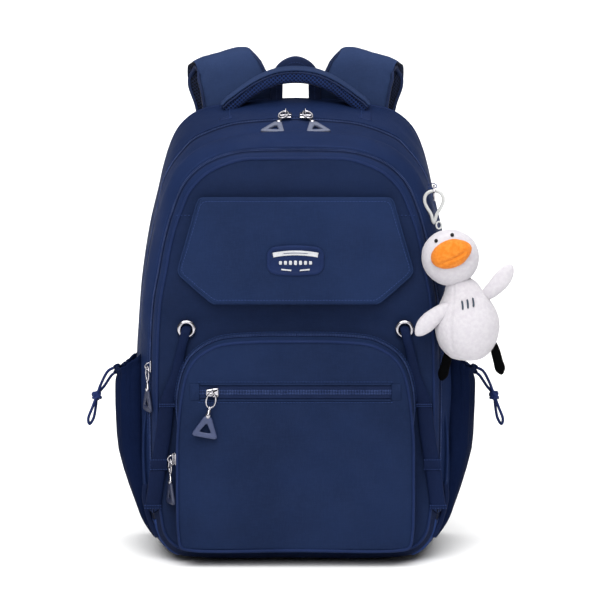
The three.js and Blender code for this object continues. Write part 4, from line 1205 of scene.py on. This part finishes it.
def add_side_band(side, sign):
    """The gathered band from the grommet down to the base, with its keepers and their tacks."""
    line = smooth_line(np.array(BAND) * (sign, 1, 1), 90)
    t = np.linspace(0, 1, 90)
    width = 9.4 + 6.2 * smoothstep(t, 0.08, 0.6)
    thick = 2.1 + 0.25 * np.sin(t * 60) * (1 - t)
    sections = circle(1, 20) * np.column_stack([width / 2, thick])[:, None]
    band = rounded(f"side_band_{side}_web", sweep(line, sections, (1, 0, 0)), SHADED_BAND_CLOTH)
    keep(band, "bag", "webbing", f"side_band_{side}")
    for n, (z, height) in enumerate(KEEPERS):
        k = int(np.argmin(abs(line[:, 2] - z)))
        x, y, w = line[k][0], line[k][1], width[k]
        shape = rounded_rect(w + 1.4, height, 1.1, x, z, 4)
        profile = [(0, 0), (0, 1.1), (0.5, 1.5)]
        keep(plate(f"side_band_{side}_keeper_{n}", shape, y - 1.0, profile, SHADED_BAND_CLOTH), "bag", "webbing")
        rows = []
        for row_z in (z - height / 2 + 1.2, z + height / 2 - 1.2):
            row = np.array([(x + end * w / 2, y - 2.6, row_z) for end in (-1, 1)])
            rows.append(stitching("row", row, FORWARD, 2.0))
        keep(join(f"side_band_{side}_tack_{n}", rows), "bag", "webbing")


def side_pocket_point(s, share, sign):
    """s runs from the front edge round to the rear edge, and share from the bottom to the rim."""
    angle = (s - 0.5) * math.pi
    reach = np.abs(np.cos(angle)) ** 0.42
    sway = np.sign(np.sin(angle)) * np.abs(np.sin(angle)) ** 0.55
    rim = 207.5 - 20 * reach - 14 * smoothstep(sway, -0.2, 1.0)
    z = POCKET_FLOOR + (rim - POCKET_FLOOR) * share
    outer = np.interp(z, *np.array(POCKET_OUT).T)
    inner = np.interp(z, *np.array(POCKET_IN).T)
    gather = smoothstep(share, 0.55, 1.0)
    pleats = np.sin(s * 92 + 2.2 * np.sin(s * 23)) * (0.25 + 1.5 * gather) + np.sin(s * 41) * 0.8 * gather
    slack = 2.4 * rough_flat(s * 90, z, 26, 8, 3.3 + sign) * np.sin(math.pi * share) ** 0.5
    tuck = -2.2 * bump(share, 0.955, 0.035)
    x = inner + (outer - 1.6 - inner + (pleats * 0.7 + slack + tuck) * np.clip(reach * 1.4, 0, 1)) * reach
    edge = (pleats * 0.5 + tuck) * np.clip(1.2 - reach, 0, 1)
    return np.stack([sign * x, 11 + sway * 62.5 + np.sign(sway) * edge * 0.6, z], axis=-1)


def add_side_pocket(side, sign):
    name = f"side_pocket_{side}"
    s = np.linspace(0.0, 1.0, 190)
    share = np.linspace(0, 1, 64)[:, None]
    grid = side_pocket_point(s[None] + 0 * share, share + 0 * s[None], sign)
    cloth = surface(f"{name}_cloth", grid, SHADED_SIDE_CLOTH, flip=sign > 0, thickness=1.3)
    keep(cloth, "bag", "pocket_fabric", name)
    rim = side_pocket_point(s, 0.995 + 0 * s, sign)
    keep(tube(f"{name}_hem", rim[3:-3], 1.7, SHADED_SIDE_CLOTH), "bag", "pocket_fabric")
    row = side_pocket_point(s, 0.94 + 0 * s, sign)
    outward = unit(np.cross(np.gradient(row, axis=0), UP)) * sign
    stitch(f"{name}_stitching", row[6:-6], outward[6:-6], "bag", "pocket_fabric", 2.6)


def add_cord_channels(side, sign):
    """The two short cloth channels that the cord comes out of, sewn to the hem."""
    runs = []
    for (x, y, z), rise in ((CORD_ROUTE[0], 2.2), (CORD_ROUTE[-1], 4.0)):
        line = np.array([(x - 6.0, y, z + rise), (x - 2.5, y, z + rise * 0.6), (x + 1.2, y, z - 1.2)])
        runs.append(tube("run", smooth_line(line * (sign, 1, 1), 12), 2.5, SHADED_SIDE_CLOTH, sides=12))
    keep(join(f"side_pocket_{side}_cord_channels", runs), "bag", "pocket_fabric")


for side, sign in SIDES:
    add_side_strip(side, sign)
    add_grommet(side, sign)
    add_side_band(side, sign)
    add_side_pocket(side, sign)
    add_cord_channels(side, sign)


# ---------------------------------------------------------------- haul handle and hang loop
HANDLE_LINE = [(72, 66, 440.5), (66.5, 66, 444), (59, 66, 449.6), (49, 66, 457), (36, 66, 465.2),
               (19, 66, 472.2), (0, 66, 474.4)]
HANG_LOOP_LINE = [(19.5, 82.5, 446), (19.3, 82.5, 458), (18.6, 82.5, 469), (12.5, 82.5, 480),
                  (0, 82.5, 485.6)]
DEPTHWISE = (0, 1, 0)


def pad_section(width, thickness, corner):
    return rounded_rect(width, thickness, corner, points=6)[::2]


def add_handle():
    line = smooth_line(arched(HANDLE_LINE), 120)
    out = frames(line, DEPTHWISE)[1]
    t = np.abs(np.linspace(-1, 1, 120))
    thick = 14.4 - 3.0 * smoothstep(t, 0.9, 1.0)
    wide = 25 + 1.2 * np.cos(t * 3) - 1.5 * smoothstep(t, 0.85, 1.0)
    sections = [pad_section(w, k, 4.6) for w, k in zip(wide, thick)]
    pad = rounded("haul_handle_pad", sweep(line, sections, DEPTHWISE), HANDLE_MESH)
    keep(pad, "handle_bend", "strap_fabric", "haul_handle", "handle_foot_left", "handle_foot_right")
    up = np.where((out @ UP)[:, None] > 0, out, -out)
    top = line + up * (thick / 2 - 0.4)[:, None]
    band = ribbon("haul_handle_band", top, wide + 0.8, 2.6, DEPTHWISE, STRAP_CLOTH)
    keep(band, "handle_bend", "strap_fabric")
    for part, y in (("front", -1), ("rear", 1)):
        seam = line + up * (thick / 2 - 3.2)[:, None] + (0, y * 12.9, 0)
        keep(tube(f"haul_handle_{part}_seam", seam, 0.9, WEB, sides=8), "handle_bend", "strap_fabric")
        row = top + up * 1.1 + (0, y * 9.8, 0)
        stitch(f"haul_handle_{part}_stitching", row, up, "handle_bend", "strap_fabric")


def add_handle_patch(side, sign):
    """The cloth that a foot of the handle is sewn down under."""
    xs = np.linspace(64, 77, 6)
    rows = []
    for y in np.linspace(22, 80, 24):
        right = body_loop(y)[: LOOP // 2 + 1]
        top = right[right[:, 2] > 300][::-1]
        rows.append([(sign * x, y, z + 3.0) for x, z in zip(xs, np.interp(xs, top[:, 0], top[:, 2]))])
    rows = np.array(rows)
    patch = surface(f"handle_patch_{side}", rows, PIPE, flip=sign < 0, thickness=1.6)
    keep(patch, "bag", "body_fabric")
    stitch(f"handle_patch_{side}_stitching", rows[:, 1] + (0, 0, 0.3), UP, "bag", "body_fabric")


def add_hang_loop():
    line = smooth_line(arched(HANG_LOOP_LINE), 70)
    across = unit(np.cross(np.gradient(line, axis=0), DEPTHWISE))
    keep(ribbon("hang_loop_web", line, 12.6, 2.4, across, WEB), "bag", "webbing", "hang_loop")
    stitch("hang_loop_centre", line + (0, -1.4, 0), FORWARD, "bag", "webbing", 2.6)


add_handle()
for side, sign in SIDES:
    add_handle_patch(side, sign)
add_hang_loop()


# ---------------------------------------------------------------- shoulder straps
STRAP_LINE = [(48, 90.8, 414), (52, 91, 430), (58.5, 90.5, 450), (66, 92.5, 472), (72, 99, 484),
              (75.5, 107, 485.5), (77, 112.4, 478), (77, 112, 467), (70, 110.5, 446), (63, 107, 405),
              (60, 104.5, 350), (64, 104, 290), (74, 104.5, 235), (84, 106, 188)]
SPLIT = 452  # the height at which the part that folds over meets the part that hangs
WEBBING_LINE = [(84, 107.2, 180), (84, 108.8, 172), (84, 106.6, 160), (90, 104.5, 122), (106, 100, 84),
                (124, 93, 34)]
ANCHOR_X, ANCHOR_Y = 126, 88.5
LOCK = {"x": 84, "y": 106.0, "z": 172.6}
BACK_PAD = {"x": 39, "z": 250, "width": 53, "height": 259, "corner": 14, "y": 85.9}


def strap_face(name, sections, line, across):
    """A padded strap: its outer face is cloth and the side towards the wearer is mesh."""
    grid = sweep(line, sections, across)
    obj = rounded(name, grid, STRAP_MESH)
    obj.data.materials.append(STRAP_CLOTH)
    columns = grid.shape[1]
    for polygon in obj.data.polygons:
        if len(polygon.vertices) == 4 and columns / 2 <= min(v % columns for v in polygon.vertices):
            polygon.material_index = 1
    return obj


def strap_sections(width, puff, crown):
    """Pad sections, thinner towards their edges and bent over the shoulder by the crown."""
    base = pad_section(1, 1, 0.42)
    edge = np.abs(2 * base[:, 0])
    thin = 1 - 0.25 * edge ** 6
    dome = 1 - edge ** 3
    return np.array([np.column_stack([base[:, 0] * w, base[:, 1] * k * thin - c * dome])
                     for w, k, c in zip(width, puff, crown)])


def add_strap(side, sign):
    line = smooth_line(np.array(STRAP_LINE) * (sign, 1, 1), 220)
    along = distances(line)
    rise = along[int(np.argmin(abs(line[:, 1] - 107) + 9 * (line[:, 2] < 470)))]
    down = np.clip((along - rise) / (along[-1] - rise), 0, 1)
    lean = 0.3 * (1 - smoothstep(down, 0.05, 0.45))
    across = np.column_stack([np.cos(lean), 0 * lean, -sign * np.sin(lean)])
    width = 80 - 14 * smoothstep(along / rise, 0.1, 0.8) - 28 * smoothstep(down, 0.45, 1.0)
    width = width - 9 * smoothstep(line[:, 2], 474, 486)
    sections = strap_sections(width, 9.4 + 0.5 * np.sin(along / 21), 3.2 * smoothstep(line[:, 2], 466, 485))
    turn = int(np.argmax((line[:, 2] < SPLIT) & (down > 0)))
    parts = (("top", slice(None, turn + 1), f"strap_{side}_bend"),
             ("pad", slice(turn, None), f"strap_{side}"))
    for part, run, body in parts:
        pad = strap_face(f"strap_{part}_{side}_pad", sections[run], line[run], across[run])
        keep(pad, body, "strap_fabric", f"strap_{part}_{side}")
    for edge_name, edge in (("inner", -1), ("outer", 1)):
        rim = line + across * (edge * (width / 2 - 0.6))[:, None]
        for part, run, body in parts:
            binding = ribbon(f"strap_{part}_{side}_{edge_name}_binding", rim[run], 3.6, 6.4, across[run], WEB)
            keep(binding, body, "strap_fabric")
    out = frames(line[turn - 2:turn + 3], across[turn - 2:turn + 3])[1][2]
    half = width[turn] / 2 - 3
    cross = line[turn] + across[turn] * np.linspace(-half, half, 12)[:, None] + out * -4.9
    stitch(f"strap_{side}_seam", cross, out * -1, f"strap_{side}", "strap_fabric")


def add_ladder_lock(side, sign):
    x, y, z = sign * LOCK["x"], LOCK["y"], LOCK["z"]
    parts = [tube("frame", standing(rounded_rect(31.5, 21.5, 3, x, z), y), 2.2, ACETAL, closed=True)]
    for height in (-3.4, 3.6):
        bar = [(x - 15, y, z + height), (x, y + 0.4, z + height), (x + 15, y, z + height)]
        parts.append(tube("bar", smooth_line(bar, 12), 1.5, ACETAL, sides=8))
    keep(join(f"ladder_lock_{side}_frame", parts), f"strap_{side}", "buckle_plastic", f"ladder_lock_{side}")


def add_lower_webbing(side, sign):
    line = smooth_line(np.array(WEBBING_LINE) * (sign, 1, 1), 90)
    web = ribbon(f"lower_webbing_{side}_web", line, 24.5, 1.8, (1, 0, 0), WEB)
    keep(web, f"strap_{side}_webbing", "webbing", f"lower_webbing_{side}")


def add_webbing_anchor(side, sign):
    """The piece of cloth that the lower webbing is sewn into."""
    shape = mirrored([(0, 20), (15, 21), (15.5, 24), (13, 46), (0, 47)])
    shape = resample_closed(shape, 60) + (sign * ANCHOR_X, 0)
    made = plate(f"webbing_anchor_{side}", shape, 0, [(0, 0), (0, 2.4), (1.0, 3.4), (4, 3.6)], BASE_CLOTH)
    made.data.transform(Matrix.Diagonal((1, -1, 1, 1)))
    made.data.flip_normals()
    made.data.transform(Matrix.Translation((0, ANCHOR_Y * MM, 0)))
    keep(made, "bag", "body_fabric")


def add_back_pad(side, sign):
    x, z, width, height, corner, y = (BACK_PAD[key] for key in ("x", "z", "width", "height", "corner", "y"))
    shape = rounded_rect(width, height, corner, sign * x, z)
    pad = cushion(f"back_pad_{side}_cover", shape, y, 5.4, BACK_MESH, channels=(185, 250, 315))
    relax(pad, 2.0, [k for k, v in enumerate(pad.data.vertices) if v.co.y < (y + 0.7) * MM])
    keep(pad, "bag", "back_fabric", f"back_pad_{side}")
    rim = standing(rounded_rect(width + 0.4, height + 0.4, corner, sign * x, z), y + 0.5)
    keep(tube(f"back_pad_{side}_binding", rim, 1.3, PIPE, sides=8, closed=True), "bag", "back_fabric")


for side, sign in SIDES:
    add_strap(side, sign)
    add_ladder_lock(side, sign)
    add_lower_webbing(side, sign)
    add_webbing_anchor(side, sign)
    add_back_pad(side, sign)


# ---------------------------------------------------------------- plush charm
def turned_body(radius, z, columns, flat=1.0):
    """Rings of points round an upright axis, one for each radius and height."""
    b = turns(columns)
    radius, z = np.reshape(radius, (-1, 1)), np.reshape(z, (-1, 1))
    return np.stack([radius * np.cos(b), radius * flat * np.sin(b), z + 0 * b], axis=-1)


def ball(radii, rows, columns):
    """A ball's surface as rings from its bottom to its top."""
    a = np.linspace(0, math.pi, rows)
    return turned_body(np.sin(a), -np.cos(a), columns) * radii


def fleece(grid, amount, scale, seed):
    """Raises small tufts along each point's direction from the middle."""
    out = unit(grid - grid.reshape(-1, 3).mean(0))
    tufts = rough(grid, scale, seed) + rough(grid, scale / 4, seed + 3)
    return grid + out * (tufts * amount * 0.5)[..., None]


def tilted(grid, centre, about_y):
    return grid @ np.array(Matrix.Rotation(about_y, 3, "Y")).T + centre


def soft(name, grid, material, slot, *nodes):
    obj = keep(rounded(name, grid, material), "charm", slot, *nodes)


def add_charm_head():
    grid = ball((28.8, 24.8, 28.2), 72, 96)
    grid[..., 0] *= 1 + 0.03 * grid[..., 2] / 28.2
    head = fleece(grid, 0.55, 240, 1.0) + (154.5, -90, 311)
    soft("charm_head_plush", head, FLEECE, "plush_white", "charm_head")
    for n, centre in enumerate(((140.0, -104.6, 330.2), (156.0, -103.6, 336.0))):
        eye = rounded(f"charm_eye_{n}", ball((1.9, 1.6, 2.0), 12, 16) + centre, ACETAL)
        keep(eye, "charm", "buckle_plastic")


def add_charm_beak():
    """Two stuffed lobes with the mouth between them, tilted up to the right."""
    radii = (21.2, 10.5, 14.2)
    grid = ball(radii, 48, 72)
    x, z = grid[..., 0] / radii[0], grid[..., 2] / radii[2]
    grid[..., 1] *= 1 - 0.16 * bump(z + 0.30 - 0.16 * x, 0, 0.10) * smoothstep(1 - np.abs(x), 0, 0.5)
    grid[..., 2] *= 1 - 0.16 * smoothstep(x, 0.2, 1.0)
    beak = fleece(tilted(grid, (155.0, -113.5, 318.6), -0.36), 0.35, 300, 2.0)
    soft("charm_beak_plush", beak, BEAK, "plush_orange", "charm_beak")


def add_charm_body():
    profile = [(0.2, 207), (16, 210), (27.4, 222), (32.4, 241), (29.6, 258), (21, 274), (13, 288), (0.2, 293)]
    grid = turned_body(*smooth_line(profile, 80).T, 88, 0.88)
    seam = bump(np.arctan2(grid[..., 1], grid[..., 0]), -2.2, 0.045)
    grid[..., :2] *= 1 - 0.04 * seam[..., None]
    grid[..., 0] -= (grid[..., 2] - 241) * 0.12 * smoothstep(grid[..., 2], 241, 292)
    body = fleece(grid, 0.6, 230, 3.0) + (171.5, -90, 0)
    soft("charm_body_plush", body, FLEECE, "plush_white", "charm_body")


def add_charm_marks():
    """Three short rows of thread on the chest."""
    for n, (x, z) in enumerate(((166.4, 266.6), (171.6, 268.0), (177.2, 269.4))):
        y = -90 - 0.88 * math.sqrt(25.4 ** 2 - (x - 169.5) ** 2) - 0.7
        row = [(x - 0.8, y + 1.6, z + 4.8), (x, y, z), (x + 0.2, y - 1.6, z - 4.8)]
        mark = tube(f"charm_mark_{n}", smooth_line(row, 10), 0.95, MARK_THREAD, sides=8)
        keep(mark, "charm", "plush_black")


def add_charm_wings():
    for n, (centre, tilt, reach, sag) in enumerate((((137, -104, 252.5), -0.70, 24.5, -2.4),
                                                    ((202, -90.5, 284.5), -0.84, 24, 2.4))):
        grid = ball((reach, 5.4, 8.2), 44, 60)
        outer = grid[..., 0] / reach * np.sign(sag)
        grid[..., 2] *= 1 + 0.16 * smoothstep(outer, -0.3, 0.5) - 0.15 * smoothstep(outer, 0.8, 1.0)
        grid[..., 2] += sag * outer ** 2
        soft(f"charm_wing_{n}", fleece(tilted(grid, centre, tilt), 0.5, 240, 4.0 + n), FLEECE, "plush_white")


def add_charm_legs():
    for side, centre, tilt in (("left", (150.5, -91, 205), 0.26), ("right", (201.4, -90.5, 211), -0.26)):
        grid = ball((4.9, 4.9, 19), 44, 36)
        foot = bump(grid[..., 2] / 19, -0.72, 0.3)
        grid[..., 0] *= 1 + 0.42 * foot
        grid[..., 1] *= 1 + 0.30 * foot
        made = fleece(tilted(grid, centre, tilt), 0.3, 320, 6.0)
        soft(f"charm_leg_{side}_plush", made, BLACK_FLEECE, "plush_black", f"charm_leg_{side}")


def add_charm_clip():
    """A glossy pear-shaped snap clip on a swivel."""
    half = [(0, 341.6), (1.3, 345), (2.9, 350.6), (7.0, 357.5), (9.4, 364), (8.2, 370), (4.4, 373.2),
            (0, 374)]
    outline = half + [(-x, z) for x, z in half[-2:0:-1]]
    loop = resample(spline(outline, closed=True, steps=8), 97)[:-1]
    loop = standing(loop + (138.5, 0), -60.5)
    clip = tube("charm_clip_ring", loop, 1.5, CLIP, sides=14, flat=1.1, closed=True)
    keep(clip, "charm", "clip_plastic", "charm_clip")
    a = turns(32)
    swivel = np.column_stack([143.5 + 2.6 * np.cos(a), -62 + 1.2 * np.sin(a), 339.5 + 3.4 * np.sin(a)])
    keep(tube("charm_swivel", swivel, 0.9, CLIP, closed=True), "charm", "clip_plastic")


def add_charm_hanger():
    """The plated ring that the clip hangs on, and the thread that holds it in the front's seam."""
    a = np.append(turns(32), 0)
    ring = np.column_stack([0 * a + 138.5, -60 + 7.2 * np.cos(a), 372 + 7.2 * np.sin(a)])
    wire = surface("charm_hanger_ring", sweep(ring, circle(1.1, 10), (1, 0, 0)), CHROME, wrap=True)
    keep(wire, "charm_hanger", "chrome", "charm_hanger")
    route = [(132.4, -50, 376.8), (135.6, -53, 380), (138.2, -56, 381), (141, -57, 379.4),
             (141.2, -57.8, 377.6), (139, -57.8, 376.7), (135.6, -54.6, 375.6), (132.2, -50.6, 375.6)]
    keep(tube("charm_thread", smooth_line(route, 40), 0.5, THREAD, sides=6), "thread_bend", "cord")


for add_part in (add_charm_head, add_charm_beak, add_charm_body, add_charm_marks, add_charm_wings,
                 add_charm_legs, add_charm_clip, add_charm_hanger):
    add_part()
